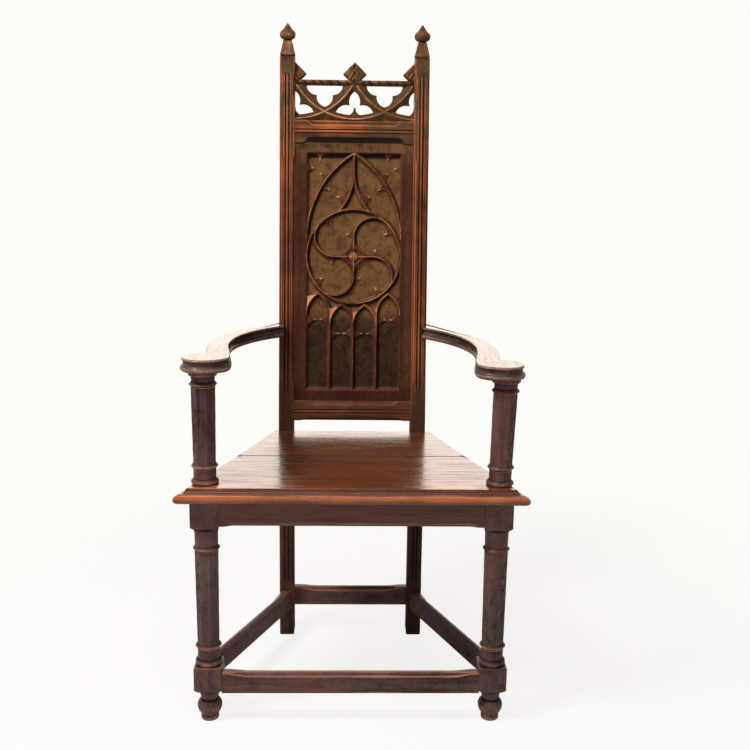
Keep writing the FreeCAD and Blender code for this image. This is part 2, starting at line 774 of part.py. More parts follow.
def build_seat_boards():
    """Front and rear seat boards, tapered in plan, with a moulded edge and the dowels between them."""
    seam_half = seat_half_width(size.front_board_depth)
    body = new_body("seat_front_board")
    plan = [(-seat_front_half, seat_front_y), (seat_front_half, seat_front_y), (seam_half, seam_y),
            (-seam_half, seam_y)]
    pad(body, outline(body, "plan", "XY_Plane", plan, offset=seat_under), size.seat_thick)
    for name, side in SIDES.items():
        mould_run(body, f"{name}_front", side, as_size(0), seat_front_y, -1)
        hole = circle(body, f"{name}_spigot_hole", "XY_Plane", (side * leg_x, front_y),
                      size.spigot + 2 * size.fit, offset=size.seat_height)
        pocket(body, hole, size.seat_thick)
    seam_holes(body, True)

    body = new_body("seat_rear_board")
    near = back_y - size.fit
    inner = post_inner - size.fit
    outer = post_outer + size.fit
    plan = [
        (-seam_half, seam_y), (seam_half, seam_y), (seat_rear_half, seat_rear_y), (outer, seat_rear_y),
        (outer, near), (inner, near), (inner, seat_rear_y), (-inner, seat_rear_y),
        (-inner, near), (-outer, near), (-outer, seat_rear_y), (-seat_rear_half, seat_rear_y),
    ]
    pad(body, outline(body, "plan", "XY_Plane", plan, offset=seat_under), size.seat_thick)
    for name, side in SIDES.items():
        mould_run(body, f"{name}_rear", side, side * post_x, seat_rear_y, 1)
    seam_holes(body, False)


def grouped(label, members):
    """Keep several like solids together as one piece."""
    group = doc.addObject("Part::Compound", label)
    group.Label = label
    group.Links = members
    pieces.append(group)


def dowel(name, diameter, length, direction):
    """Plain round dowel along a direction."""
    item = doc.addObject("Part::Cylinder", name)
    bind(item, "Radius", diameter / 2)
    bind(item, "Height", length)
    item.Placement = Placement(Vector(), Rotation(Vector(0, 0, 1), direction))
    return item


def build_hidden_fixings():
    """Dowels in the seat's seam and behind the arms, and glue blocks under the seat."""
    members = []
    for name, x in dowel_places():
        item = dowel(f"{name}_seat_dowel", size.seat_dowel, size.seat_dowel_long, Vector(0, 1, 0))
        place(item, x, seam_y - size.seat_dowel_long / 2, seat_dowel_z)
        members.append(item)
    grouped("seat_dowels", members)

    members = []
    for name, side in SIDES.items():
        item = dowel(f"{name}_arm_dowel", size.arm_dowel, size.arm_dowel_long, Vector(side, 0, 0))
        place(item, side * (post_outer - size.arm_dowel_deep), *raked(arm_slope_up, size.arm_dowel_set))
        members.append(item)
    grouped("arm_dowels", members)

    members = []
    front_face = front_rail_y + size.rail_thick / 2
    rear_face = rear_rail_y - size.rear_rail_thick / 2 - size.glue_block
    rows = [(front_face, (-1, 0, 1), size.glue_block_pitch), (rear_face, (-1, 1), size.glue_block_pitch / 2)]
    for face, steps, pitch in rows:
        for step in steps:
            item = doc.addObject("Part::Box", "glue_block")
            bind(item, "Length", size.glue_block_long)
            bind(item, "Width", size.glue_block)
            bind(item, "Height", size.glue_block)
            place(item, step * pitch - size.glue_block_long / 2, face, seat_under - size.glue_block)
            members.append(item)
    grouped("seat_glue_blocks", members)


def arm_hollow(body, name, plane, edge, outward, offset):
    """Sketch of the hollow that runs round an arm's edge, wider at its mouth than at its floor."""
    middle = arm_under + size.arm_thick / 2
    mouth = size.arm_hollow / 2
    floor = mouth - size.arm_hollow_slope
    spare = outward * size.arm_hollow_slope
    deep = edge - outward * size.arm_hollow_deep
    corners = [(edge, middle - mouth), (edge + spare, middle - mouth), (edge + spare, middle + mouth),
               (edge, middle + mouth), (deep, middle + floor), (deep, middle - floor)]
    return outline(body, name, plane, corners, offset=offset)


def build_arm(name, side):
    """Arm that sweeps from the rear post to a round pad, with a hollow run round its edge."""
    body = new_body(f"{name}_arm")
    pad_radius = size.arm_pad / 2
    inner_x = leg_x - pad_radius
    neck_x = leg_x - size.arm_neck
    neck_y = front_y + size.arm_neck_back
    ease_y = front_y + size.arm_neck_back / 2
    ease_x = (inner_x + neck_x) / 2
    tip_x = post_outer - size.arm_lap
    post_y, _ = raked(arm_slope_up, 0)
    tip_y = post_y - size.arm_end_front
    outer_y = front_y + size.arm_outer_back
    end_y = post_y + size.arm_end_back
    ease = ((ease_x - inner_x) * (ease_x - inner_x) + (ease_y - front_y) * (ease_y - front_y)) / (
        2 * (ease_x - inner_x))
    drop = neck_x - tip_x
    sweep = (drop * drop + (tip_y - neck_y) * (tip_y - neck_y)) / (2 * drop)
    outer_drop = leg_x - post_outer
    outer_sweep = (outer_drop * outer_drop + (end_y - outer_y) * (end_y - outer_y)) / (2 * outer_drop)
    inner_edge = [
        (side * leg_x, front_y + pad_radius),
        (side * (leg_x + pad_radius), front_y),
        (side * leg_x, front_y - pad_radius),
        (side * inner_x, front_y),
        (side * ease_x, ease_y),
        (side * neck_x, neck_y),
        (side * tip_x, tip_y),
    ]
    outer_edge = [(side * post_outer, end_y), (side * leg_x, outer_y)]
    inner_bends = {i: (pad_radius, -side) for i in range(3)}
    inner_bends[3] = (ease, -side)
    inner_bends[4] = (ease, side)
    inner_bends[5] = (sweep, side)
    plan = inner_edge + [(side * tip_x, end_y)] + outer_edge
    bends = dict(inner_bends)
    bends[8] = (outer_sweep, -side)
    pad(body, outline(body, "plan", "XY_Plane", plan, offset=arm_under, bends=bends), size.arm_thick)
    rest = raked_box(0, slant, 0, size.post_depth + size.arm_end_back)
    pocket(body, outline(body, "post_seat", "YZ_Plane", rest, offset=side * post_outer),
           size.post_width, along=side < 0)
    middle = arm_under + size.arm_thick / 2
    path = outline(body, "inner_path", "XY_Plane", inner_edge, offset=middle, bends=inner_bends, closed=False)
    hollow = arm_hollow(body, "inner_hollow", "YZ_Plane", front_y + pad_radius, 1, side * leg_x)
    run_moulding(body, "inner_moulding", hollow, path)
    outer_path = [(side * leg_x, front_y + pad_radius), (side * leg_x, outer_y), (side * post_outer, end_y)]
    path = outline(body, "outer_path", "XY_Plane", outer_path, offset=middle, bends={1: (outer_sweep, side)},
                   closed=False)
    hollow = arm_hollow(body, "outer_hollow", "XZ_Plane", side * leg_x, side, -(front_y + pad_radius))
    run_moulding(body, "outer_moulding", hollow, path)
    hole = circle(body, "support_hole", "XY_Plane", (side * leg_x, front_y), size.spigot + 2 * size.fit,
                  offset=arm_under)
    pocket(body, hole, size.spigot_rise + size.end_gap, along=True)
    hole = circle(body, "dowel_hole", "YZ_Plane", raked(arm_slope_up, size.arm_dowel_set),
                  size.arm_dowel + 2 * size.fit, offset=side * post_outer)
    pocket(body, hole, size.arm_dowel_long - size.arm_dowel_deep + size.end_gap, along=side > 0)


def build_back_rail(label, base, high, groove_low):
    """Rail between the rear posts, along the rake, with tenons, stopped chamfers and the panel's groove."""
    body = new_body(label)
    section = raked_box(base, base + high, size.back_rail_set, size.back_rail_set + size.back_rail_thick)
    pad(body, outline(body, "section", "YZ_Plane", section), 2 * post_inner, both_ways=True)
    low, top = back_tenon_span(base, high)
    tenon = raked_box(low, top, size.back_tenon_set, size.back_tenon_set + size.tenon_thick)
    pad(body, outline(body, "tenons", "YZ_Plane", tenon), 2 * (post_inner + size.tenon_long), both_ways=True)
    groove_front, groove_rear = grown(size.back_tenon_set, size.back_tenon_set + size.tongue_thick)
    groove = raked_box(groove_low, groove_low + size.tongue + size.end_gap, groove_front, groove_rear)
    pocket(body, outline(body, "panel_groove", "YZ_Plane", groove), 2 * post_inner, both_ways=True)
    front = size.back_rail_set
    for name, edge, inward in (("lower_chamfer", base, 1), ("upper_chamfer", base + high, -1)):
        triangle = [raked(edge, front), raked(edge, front + size.back_chamfer_deep),
                    raked(edge + inward * size.back_chamfer_high, front)]
        pocket(body, outline(body, name, "YZ_Plane", triangle), 2 * (post_inner - size.back_chamfer_stop),
               both_ways=True)


def upright_slab(corners, front, thick):
    """Flat piece of the back from its corners in width and height."""
    points = [Vector(x, front, z) for x, z in corners]
    return Part.Face(Part.makePolygon(points + points[:1])).extrude(Vector(0, thick, 0))


def slab_box(low_x, high_x, low_z, high_z, front, thick):
    """Rectangular slab of the back."""
    return Part.makeBox(high_x - low_x, thick, high_z - low_z, Vector(low_x, front, low_z))


def bar_band(start, end, width, front, thick):
    """Straight rib between two points."""
    along = Vector(end[0] - start[0], 0, end[1] - start[1]).normalize()
    across = Vector(-along.z, 0, along.x) * (width / 2)
    corners = [(point[0] + sign * across.x, point[1] + sign * across.z)
               for point, sign in ((start, 1), (start, -1), (end, -1), (end, 1))]
    return upright_slab(corners, front, thick)


def on_arc(centre, radius, angle):
    """Point at an angle in degrees on a circle in the plane of the back."""
    turn = math.radians(angle)
    return centre[0] + radius * math.cos(turn), centre[1] + radius * math.sin(turn)


def arc_band(centre, radius, width, first, last, front, thick):
    """Rib along an arc, from one angle to another in degrees."""
    def point(distance, angle):
        x, z = on_arc(centre, distance, angle)
        return Vector(x, front, z)

    edges = []
    middle = (first + last) / 2
    outer = radius + width / 2
    inner = radius - width / 2
    edges.append(Part.Arc(point(outer, first), point(outer, middle), point(outer, last)).toShape())
    edges.append(Part.makeLine(point(outer, last), point(inner, last)))
    edges.append(Part.Arc(point(inner, last), point(inner, middle), point(inner, first)).toShape())
    edges.append(Part.makeLine(point(inner, first), point(outer, first)))
    return Part.Face(Part.Wire(edges)).extrude(Vector(0, thick, 0))


def ring_band(centre, radius, width, front, thick):
    """Full ring in the plane of the back."""
    place_at = Vector(centre[0], front, centre[1])
    outer = Part.makeCylinder(radius + width / 2, thick, place_at, Vector(0, 1, 0))
    return outer.cut(Part.makeCylinder(radius - width / 2, thick, place_at, Vector(0, 1, 0)))


def spur(root_point, direction, base, reach, front, thick):
    """Cusp: a spur with hollow sides and a blunt point that stands on a rib along a direction."""
    turn = math.radians(direction)
    along = Vector(math.cos(turn), 0, math.sin(turn))
    across = Vector(-along.z, 0, along.x)
    foot = Vector(root_point[0], front, root_point[1])
    blunt = across * (plain.cusp_point / 2)
    left = foot + across * (base / 2)
    right = foot - across * (base / 2)
    tip = foot + along * reach

    def hollow_side(start, end):
        middle = (start + end) / 2
        return Part.Arc(start, middle + (foot - middle) * CUSP_HOLLOW, end).toShape()

    edges = [
        hollow_side(left, tip + blunt),
        Part.makeLine(tip + blunt, tip - blunt),
        hollow_side(tip - blunt, right),
        Part.makeLine(right, left),
    ]
    return Part.Face(Part.Wire(edges)).extrude(Vector(0, thick, 0))


def back_piece(label, shape):
    """Set a carved piece on the raked plane of the back."""
    piece = doc.addObject("Part::Feature", label)
    piece.Label = label
    piece.Shape = shape
    angle = math.degrees(math.atan2(plain.back_lean, rise.value))
    piece.Placement = Placement(Vector(0, back_y.value, rake_start.value), Rotation(Vector(1, 0, 0), -angle))
    pieces.append(piece)


def wheel_ribs(field, front, thick):
    """Ring of four whirling round lights, with a hub between them and ribs that bend onto the rim."""
    centre = (0, field.top - plain.wheel_drop)
    width = plain.rib
    lobe = field.half / (1 + math.sqrt(2))
    bend = (lobe, centre[1] + lobe)
    cusp = (plain.cusp_base, plain.cusp_reach + width / 2, front, thick)
    middle = Vector(centre[0], front, centre[1])
    depth = Vector(0, 1, 0)
    light = Part.makeCylinder(lobe - width / 2, thick, Vector(bend[0], front, bend[1]), depth)
    whirl = [
        arc_band(bend, lobe, width, 180, 45, front, thick),
        spur(on_arc(centre, field.half, RIM_CUSP_ANGLE), RIM_CUSP_ANGLE + 180, *cusp),
        spur((lobe, centre[1]), 90, *cusp),
    ]
    hub = slab_box(-lobe, lobe, centre[1] - lobe, centre[1] + lobe, front, thick)
    ribs = [ring_band(centre, field.half, width, front, thick)]
    for quarter in range(4):
        opening = light.copy()
        opening.rotate(middle, depth, 90 * quarter)
        hub = hub.cut(opening)
        for rib in whirl:
            turned = rib.copy()
            turned.rotate(middle, depth, 90 * quarter)
            ribs.append(turned)
    ribs.append(hub)
    return ribs


def arch_ribs(field, front, thick):
    """Pointed arch over the wheel, with a mullion that divides in two above it."""
    width = plain.rib
    spring = field.top - plain.arch_high
    radius = (field.half ** 2 + plain.arch_high ** 2) / (2 * field.half)
    end = math.degrees(math.asin(plain.arch_high / radius))
    split = field.top - plain.mullion_long
    foot_x = plain.mullion_foot
    foot_z = field.top - plain.wheel_drop + math.sqrt(field.half ** 2 - foot_x ** 2)
    fall = split - foot_z
    flare = (foot_x ** 2 + fall ** 2) / (2 * foot_x)
    sweep = math.degrees(math.asin(fall / flare))
    reach = plain.cusp_reach + width / 2
    ribs = [bar_band((0, split), (0, field.top), width, front, thick)]
    for side in SIDES.values():
        start = 0 if side > 0 else 180
        centre = (side * (field.half - radius), spring)
        ribs.append(arc_band(centre, radius, width, start, start + side * end, front, thick))
        ribs.append(arc_band((side * flare, split), flare, width, 180 - start, 180 - start + side * sweep,
                             front, thick))
        for face, share in ARCH_CUSP_SHARES.items():
            angle = start + side * end * share
            heading = angle + 180 if face == "inner" else angle
            ribs.append(spur(on_arc(centre, radius, angle), heading, plain.cusp_base, reach, front, thick))
    return ribs


def lancet_ribs(field, front, thick):
    """Four narrow pointed lights below the wheel, each with a pair of cusps in its head."""
    width = plain.rib
    light = field.half / 2
    high = plain.lancet_rise
    radius = ((light / 2) ** 2 + high ** 2) / light
    sweep = math.degrees(math.asin(high / radius))
    reach = plain.cusp_reach + width / 2
    tops = [field.top - plain.outer_lancet_drop, field.top - plain.inner_lancet_drop]
    ribs = []
    for column, top in enumerate(tops + tops[::-1]):
        left = column * light - field.half
        spring = top - high
        for edge, side in ((left, 1), (left + light, -1)):
            start = 180 if side > 0 else 0
            centre = (edge + side * radius, spring)
            ribs.append(bar_band((edge, field.base), (edge, spring), width, front, thick))
            ribs.append(arc_band(centre, radius, width, start, start - side * sweep, front, thick))
            ribs.append(spur((edge, spring), 180 - start, plain.cusp_base, reach, front, thick))
    return ribs


def build_back_panel():
    """Panel with a sunk field and the tracery left standing in it."""
    half = post_inner.value
    low = lower_rail_top.value
    high = upper_rail_base.value
    front = plain.panel_set
    depth = plain.relief
    tongue = plain.tongue
    fit = plain.fit
    field = SimpleNamespace(half=half - plain.field_side, base=low + plain.field_sill,
                            top=high - plain.field_head)
    board = slab_box(-half + fit, half - fit, low + fit, high - fit, front, plain.panel_thick)
    edge = slab_box(-half - tongue, half + tongue, low - tongue, high + tongue, plain.back_tenon_set,
                    plain.tongue_thick)
    sunk = slab_box(-field.half, field.half, field.base, field.top, front, depth)
    ribs = wheel_ribs(field, front, depth) + arch_ribs(field, front, depth) + lancet_ribs(field, front, depth)
    tracery = ribs[0].multiFuse(ribs[1:]).common(sunk)
    back_piece("back_panel", board.fuse(edge).cut(sunk).fuse(tracery).removeSplitter())


def build_cresting():
    """Cresting pierced as an upturned arcade of crossing arcs, with a bar and three diamonds."""
    half = post_inner.value
    front = plain.cresting_set
    thick = plain.cresting_thick
    base = upper_rail_top.value
    radius = plain.arcade_radius
    arcade_base = base - plain.arcade_sink
    centre_z = arcade_base + radius
    bar_low = bar_base.value
    bar_top = bar_low + plain.bar_high
    reach = math.degrees(math.acos((centre_z - bar_low - plain.bar_high / 2) / radius))
    solids = [slab_box(-half, half, bar_low, bar_top, front, thick)]
    diamond = plain.diamond
    middle = bar_top + plain.diamond_rise
    cusp = (plain.crest_cusp_base, plain.crest_cusp_reach + plain.arcade_band / 2, front, thick)
    for step in (-1, 0, 1):
        x = step * half
        centre = (x, centre_z)
        solids.append(arc_band(centre, radius, plain.arcade_band, 270 - reach, 270 + reach, front, thick))
        points = [(x, middle - diamond), (x + diamond, middle), (x, middle + diamond), (x - diamond, middle)]
        solids.append(upright_slab(points, front, thick))
        solids.append(spur((x, arcade_base), 90, plain.fleur_wide, plain.fleur_high, front, thick))
        for side in SIDES.values():
            angle = 270 + side * reach * CREST_CUSP_SHARE
            solids.append(spur(on_arc(centre, radius, angle), angle, *cusp))
            solids.append(spur(on_arc(centre, radius, angle), angle + 180, *cusp))
    solids.append(slab_box(-half, half, base, arcade_base + plain.arcade_band / 2, front, thick))
    limits = slab_box(-half, half, base, middle + diamond, front, thick)
    shape = solids[0].multiFuse(solids[1:]).common(limits)
    tongue = plain.tongue
    for low in (base, bar_low):
        shape = shape.fuse(slab_box(-half - tongue, half + tongue, low, low + plain.crest_tenon_high,
                                    plain.back_tenon_set, plain.tenon_thick))
    back_piece("cresting", shape.removeSplitter())


def build_chair():
    """Build every piece of the chair."""
    for name, side in SIDES.items():
        build_rear_post(name, side)
        build_finial(name, side)
        build_front_leg(name, side)
        build_arm_support(name, side)
        build_arm(name, side)
        build_side_rail(f"{name}_seat_rail", side, leg_x - size.side_set, size.rail_thick, rail_base,
                        size.rail_high, rail_tenon_base, size.rail_tenon_high)
        build_side_rail(f"{name}_stretcher", side, leg_x + size.stretcher_out, size.stretcher_thick,
                        size.stretcher_base, size.stretcher_high, stretcher_tenon_base, stretcher_tenon_high)
    build_cross_rails()
    build_seat_boards()
    build_hidden_fixings()
    build_back_rail("lower_back_rail", size.lower_rail_base, size.lower_rail_high,
                    lower_rail_top - size.tongue - size.end_gap)
    build_back_rail("upper_back_rail", upper_rail_base, size.upper_rail_high, upper_rail_base)
    build_back_panel()
    build_cresting()


def check_and_export():
    """Check every object and write one file for each piece."""
    doc.recompute()
    failed = [item.Label for item in doc.Objects if {"Invalid", "Error"} & set(item.State)]
    failed += [piece.Label for piece in pieces if piece.Shape.isNull() or not piece.Shape.isValid()]
    if failed:
        raise RuntimeError(f"these did not build: {sorted(set(failed))}")
    os.makedirs("parts", exist_ok=True)
    for piece in pieces:
        piece.Shape.exportStep(os.path.join("parts", f"{piece.Label}.step"))


build_chair()
check_and_export()
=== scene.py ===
import logging
import math
from dataclasses import dataclass, field, replace
from enum import Enum
from typing import Callable, Iterable, Sequence

import bmesh
import bpy
import numpy as np
from mathutils import Matrix, Vector


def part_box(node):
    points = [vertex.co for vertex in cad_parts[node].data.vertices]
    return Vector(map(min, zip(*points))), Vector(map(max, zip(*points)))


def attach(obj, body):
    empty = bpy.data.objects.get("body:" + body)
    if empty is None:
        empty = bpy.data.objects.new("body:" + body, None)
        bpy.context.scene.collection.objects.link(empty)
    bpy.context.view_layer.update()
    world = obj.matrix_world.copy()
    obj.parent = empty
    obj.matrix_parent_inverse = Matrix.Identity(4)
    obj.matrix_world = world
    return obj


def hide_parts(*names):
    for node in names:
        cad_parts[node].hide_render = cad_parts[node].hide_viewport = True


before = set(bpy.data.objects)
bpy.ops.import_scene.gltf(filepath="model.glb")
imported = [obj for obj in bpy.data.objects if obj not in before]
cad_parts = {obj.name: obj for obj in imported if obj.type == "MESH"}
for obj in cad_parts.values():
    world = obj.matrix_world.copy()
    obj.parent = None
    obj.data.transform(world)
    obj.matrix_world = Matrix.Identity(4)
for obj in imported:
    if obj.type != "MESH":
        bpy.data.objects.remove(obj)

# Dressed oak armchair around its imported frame. Shapes are worked out in millimetres in the frame's axes.

log = logging.getLogger("armchair")
Array = np.ndarray
Material = bpy.types.Material
Pair = tuple[float, float]
Triple = tuple[float, float, float]
Colour = tuple[float, float, float, float]
Arrays = tuple[Array, Array, Array]

MM = 0.001
SIDES = {"left": -1, "right": 1}
AXES = np.eye(3)
# Pitch and phase of the waves in a hand-cut edge
WAVES = ((0.031, 1.7), (0.077, 3.1), (0.19, 5.3))
# How far each piece's number moves its grain, so that no two pieces look alike
GRAIN_SHIFT = np.array([0.37, 0.11, 0.07])
GRAIN_SEEDS = 97
# Reach of a corner's wear, and the shares of a side that it and the easing may take
GUARD = 4.0
GUARD_SHARE = 0.46
EASE_SHARE = 0.3
# Easing of a chamfer's edges and of the rear edges
CUT_EASE = 0.5
REAR_EASE = 0.8
# Closer stations round a chamfer's stop
STOP_MARGIN = 2.0
ZONE_STATIONS = 9
# Angles of a turned piece's points in a quarter turn, close together at the corners of its outlines
QUADRANT = (0, 6, 12, 17.5, 21.2, 23.8, 27.5, 33, 38, 41.5, 44.1,
            45.9, 48.5, 52, 57, 62.5, 66.2, 68.8, 72.5, 78, 84)
TURN = np.radians([quarter * 90 + angle for quarter in range(4) for angle in QUADRANT])
# Corners of squared outlines: how far they are blunted, and the wear within an angle of them
BLUNT = 0.985
CORNER_TURN = math.radians(2.0)
CORNER_WEAR = 0.35


class Grain(Enum):
    """Order of the axes, so that the way of the grain comes first."""

    ACROSS = (0, 1, 2)
    DEEP = (1, 2, 0)
    UPRIGHT = (2, 0, 1)


class Shape(Enum):
    """Outline of a level of a turned or squared piece, by its number of sides."""

    ROUND = 0
    SQUARE = 4
    OCTAGON = 8


def box_mm(node: str) -> tuple[Array, Array]:
    """Lowest and highest corner of a frame node in millimetres."""
    low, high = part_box(node)
    return np.array(low) / MM, np.array(high) / MM


def smooth(value: Array | float) -> Array | float:
    """Ease a share from 0 to 1 with level ends."""
    share = np.clip(value, 0.0, 1.0)
    return share * share * (3.0 - 2.0 * share)


def hill(value: Array) -> Array:
    """Bell of height 1 over the place where the value is 0."""
    return np.exp(-value ** 2)


def joined(*columns: Array | float) -> Array:
    """Columns side by side as rows, with single values spread over all rows."""
    return np.stack(np.broadcast_arrays(*columns), axis=-1)


def most(*values: Array | float) -> Array:
    """Greatest of several values at each place."""
    return np.maximum.reduce(np.broadcast_arrays(*values))


def wander(place: Array | float, seed: float) -> Array | float:
    """Slow hand-made unevenness at a place, about one unit each way."""
    return sum(np.sin(place * pitch + seed * phase) for pitch, phase in WAVES) / len(WAVES)


@dataclass(frozen=True)
class Layout:
    """Places that the chair's pieces share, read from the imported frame."""

    leg_x: float
    front_y: float
    block: float
    back_y: float
    post_inner: float
    post_outer: float
    post_top: float
    top_depth: float
    finial_y: float
    finial_top: float
    seat_front_y: float
    seam_y: float
    seat_rear_y: float
    seat_under: float
    seat_top: float
    seat_front_half: float
    seam_half: float
    arm_under: float
    arm_top: float
    arm_tip_x: float
    arm_pad_x: float
    arm_end_y: float
    rake_rise: float = 10.0
    post_depth: float = 40.0
    left_lift: float = 8.5

    @classmethod
    def from_frame(cls) -> "Layout":
        """Read the layout from the boxes of the frame's nodes.

        Returns:
            The layout.
        """
        leg_low, leg_high = box_mm("right_front_leg")
        post_low, post_high = box_mm("right_rear_post")
        bud_low, bud_high = box_mm("right_finial")
        front_low, front_high = box_mm("seat_front_board")
        rear_high = box_mm("seat_rear_board")[1]
        arm_low, arm_high = box_mm("right_arm")
        finial_y = (bud_low[1] + bud_high[1]) / 2
        return cls(
            leg_x=(leg_low[0] + leg_high[0]) / 2, front_y=(leg_low[1] + leg_high[1]) / 2,
            block=leg_high[0] - leg_low[0], back_y=post_low[1], post_inner=post_low[0],
            post_outer=post_high[0], post_top=post_high[2], top_depth=2 * (post_high[1] - finial_y),
            finial_y=finial_y, finial_top=bud_high[2], seat_front_y=front_low[1], seam_y=front_high[1],
            seat_rear_y=rear_high[1], seat_under=front_low[2], seat_top=front_high[2],
            seat_front_half=front_high[0], seam_half=rear_high[0], arm_under=arm_low[2],
            arm_top=arm_high[2], arm_tip_x=arm_low[0], arm_pad_x=arm_high[0], arm_end_y=arm_high[1])

    @property
    def rake_start(self) -> float:
        """Height at which the posts begin to lean."""
        return self.seat_top + self.rake_rise

    @property
    def lean(self) -> float:
        """How far the posts lean back at their top."""
        return self.finial_y - self.top_depth / 2 - self.back_y

    @property
    def rise(self) -> float:
        """Height of the raked part of the posts."""
        return self.post_top - self.rake_start

    @property
    def slant(self) -> float:
        """Length of the raked part along its front."""
        return math.hypot(self.rise, self.lean)

    @property
    def post_x(self) -> float:
        """Middle of a rear post across the chair."""
        return (self.post_inner + self.post_outer) / 2

    @property
    def taper(self) -> float:
        """How much narrower the seat's half gets with each millimetre towards the rear."""
        return (self.seat_front_half - self.seam_half) / (self.seam_y - self.seat_front_y)

    def lift(self, side: int) -> float:
        """How much higher an arm's pad stands than its end on the post."""
        return self.left_lift if side < 0 else 0.0

    def raked(self, x: Array, up: Array, deep: Array | float) -> Array:
        """Points on the raked back.

        Args:
            x: Place across the chair.
            up: Distance up the rake from its start.
            deep: Distance behind the front of the posts.

        Returns:
            One row of X, Y and Z for each point.
        """
        y = self.back_y + (up * self.lean + deep * self.rise) / self.slant
        z = self.rake_start + (up * self.rise - deep * self.lean) / self.slant
        return joined(x, y, z)

    def height(self, up: float) -> float:
        """Height of a place on a post's front, from its distance up the rake or below its start."""
        return self.rake_start + up * (self.rise / self.slant if up > 0 else 1.0)

    def post_front(self, z: float) -> float:
        """Y of a rear post's front face at a height."""
        return self.back_y + self.lean * max(z - self.rake_start, 0.0) / self.rise

    def post_depth_at(self, z: float) -> float:
        """Depth of a rear post from front to rear at a height."""
        share = max(z - self.rake_start, 0.0) / self.rise
        return self.post_depth + share * (self.top_depth - self.post_depth)


@dataclass
class Skin:
    """Points and faces of one piece, with its marks: wear, which also carries painted highlights; dirt, which
    also carries painted shade and shadow; and tone.
    """

    grain: Grain
    points: list[Array] = field(default_factory=list)
    marks: list[Array] = field(default_factory=list)
    faces: list[list[int]] = field(default_factory=list)
    count: int = 0

    @classmethod
    def around(cls, grain: Grain, levels: Iterable[tuple[Array, Array]]) -> "Skin":
        """Close a skin round a row of rings, with a cap at each end.

        Args:
            grain: Way of the grain.
            levels: Points of each ring and their marks.

        Returns:
            The closed skin.
        """
        rings, marks = (np.array(part) for part in zip(*levels))
        skin = cls(grain)
        index = skin.add(rings, marks) + np.arange(rings[..., 0].size).reshape(rings.shape[:2])
        low, high = index[:-1], index[1:]
        skin.fill(low, np.roll(low, -1, 1), np.roll(high, -1, 1), high)
        skin.faces += [index[0][::-1].tolist(), index[-1].tolist()]
        return skin

    def add(self, points: Array, marks: Array) -> int:
        """Add points with their marks.

        Args:
            points: Rows of X, Y and Z.
            marks: Rows of wear, dirt and tone.

        Returns:
            Number of the first point added.
        """
        first = self.count
        self.points.append(np.asarray(points, float).reshape(-1, 3))
        self.marks.append(np.asarray(marks, float).reshape(-1, 3))
        self.count += len(self.points[-1])
        return first

    def fill(self, *corners: Array) -> None:
        """Add faces of four points, from the numbers of their first to fourth corners."""
        self.faces += np.stack(corners, axis=-1).reshape(-1, len(corners)).tolist()

    def build(self, name: str, finish: Material, slot: str, nodes: Sequence[str],
              crease: float = 40.0) -> None:
        """Make the object, hang it on the frame and let it stand for frame nodes.

        Args:
            name: Name of the piece.
            finish: Its material.
            slot: Not used.
            nodes: Frame nodes that the piece stands for.
            crease: Angle in degrees past which an edge stays sharp.
        """
        points = np.concatenate(self.points)
        mesh = bpy.data.meshes.new(name)
        mesh.from_pydata((points * MM).tolist(), [], self.faces)
        seed = float(sum(name.encode()) % GRAIN_SEEDS)
        coords = points[:, list(self.grain.value)] * MM + seed * GRAIN_SHIFT
        for label, vectors in (("grain", coords), ("age", np.concatenate(self.marks))):
            layer = mesh.attributes.new(label, "FLOAT_VECTOR", "POINT")
            layer.data.foreach_set("vector", np.ascontiguousarray(vectors, np.float32).ravel())
        shell = bmesh.new()
        shell.from_mesh(mesh)
        bmesh.ops.recalc_face_normals(shell, faces=shell.faces)
        shell.to_mesh(mesh)
        shell.free()
        mesh.polygons.foreach_set("use_smooth", [True] * len(mesh.polygons))
        mesh.set_sharp_from_angle(angle=math.radians(crease))
        mesh.materials.append(finish)
        piece = bpy.data.objects.new(name, mesh)
        bpy.context.scene.collection.objects.link(piece)
        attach(piece, "root")
        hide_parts(*nodes)
        log.info("%s: %d points", name, len(points))


@dataclass(frozen=True)
class Corner:
    """Corner of a section: its place, how far it is eased, and its wear and dirt."""

    u: float
    v: float
    ease: float = 0.9
    wear: float = 1.0
    dirt: float = 0.0


def eased(corners: Sequence[Corner], tone: float, rub: float = 0.0) -> tuple[Array, Array]:
    """Round off a section's corners and mark the wear on them.

    Args:
        corners: Corners in order round the section.
        tone: Tone of the wood, from red to olive.
        rub: Wear on the flat faces.

    Returns:
        Points of the section and their marks.
    """
    places = np.array([(corner.u, corner.v) for corner in corners])
    points, marks = [], []
    for i, corner in enumerate(corners):
        if corner.ease <= 0:
            points.append(places[i])
            marks.append((corner.wear, corner.dirt, tone))
            continue
        before = places[i - 1] - places[i]
        after = places[(i + 1) % len(places)] - places[i]
        for way, order in ((before, 1), (after, -1)):
            length = max(float(np.hypot(*way)), 1e-6)
            steps = [(min(GUARD, GUARD_SHARE * length), rub),
                     (min(corner.ease, EASE_SHARE * length), corner.wear)]
            for reach, wear in steps[::order]:
                points.append(places[i] + way / length * reach)
                marks.append((wear, corner.dirt, tone))
    return np.array(points), np.array(marks)


def stopped(place: float, start: float, end: float, run: float) -> float:
    """Share of a chamfer's depth between its ends, with a curved stop of a given run at each end."""
    return float(smooth((place - start) / run) * smooth((end - place) / run))


def stop_zones(length: float, stops: Iterable[float], run: float) -> list[Pair]:
    """Zones of a timber in which its chamfers start and stop.

    Args:
        length: Length of the timber.
        stops: Distance of each chamfer's ends from the timber's ends.
        run: Length of a stop.

    Returns:
        First and last place of each zone.
    """
    zones = []
    for stop in stops:
        zones.append((stop - STOP_MARGIN, stop + run + STOP_MARGIN))
        zones.append((length - stop - run - STOP_MARGIN, length - stop + STOP_MARGIN))
    return zones


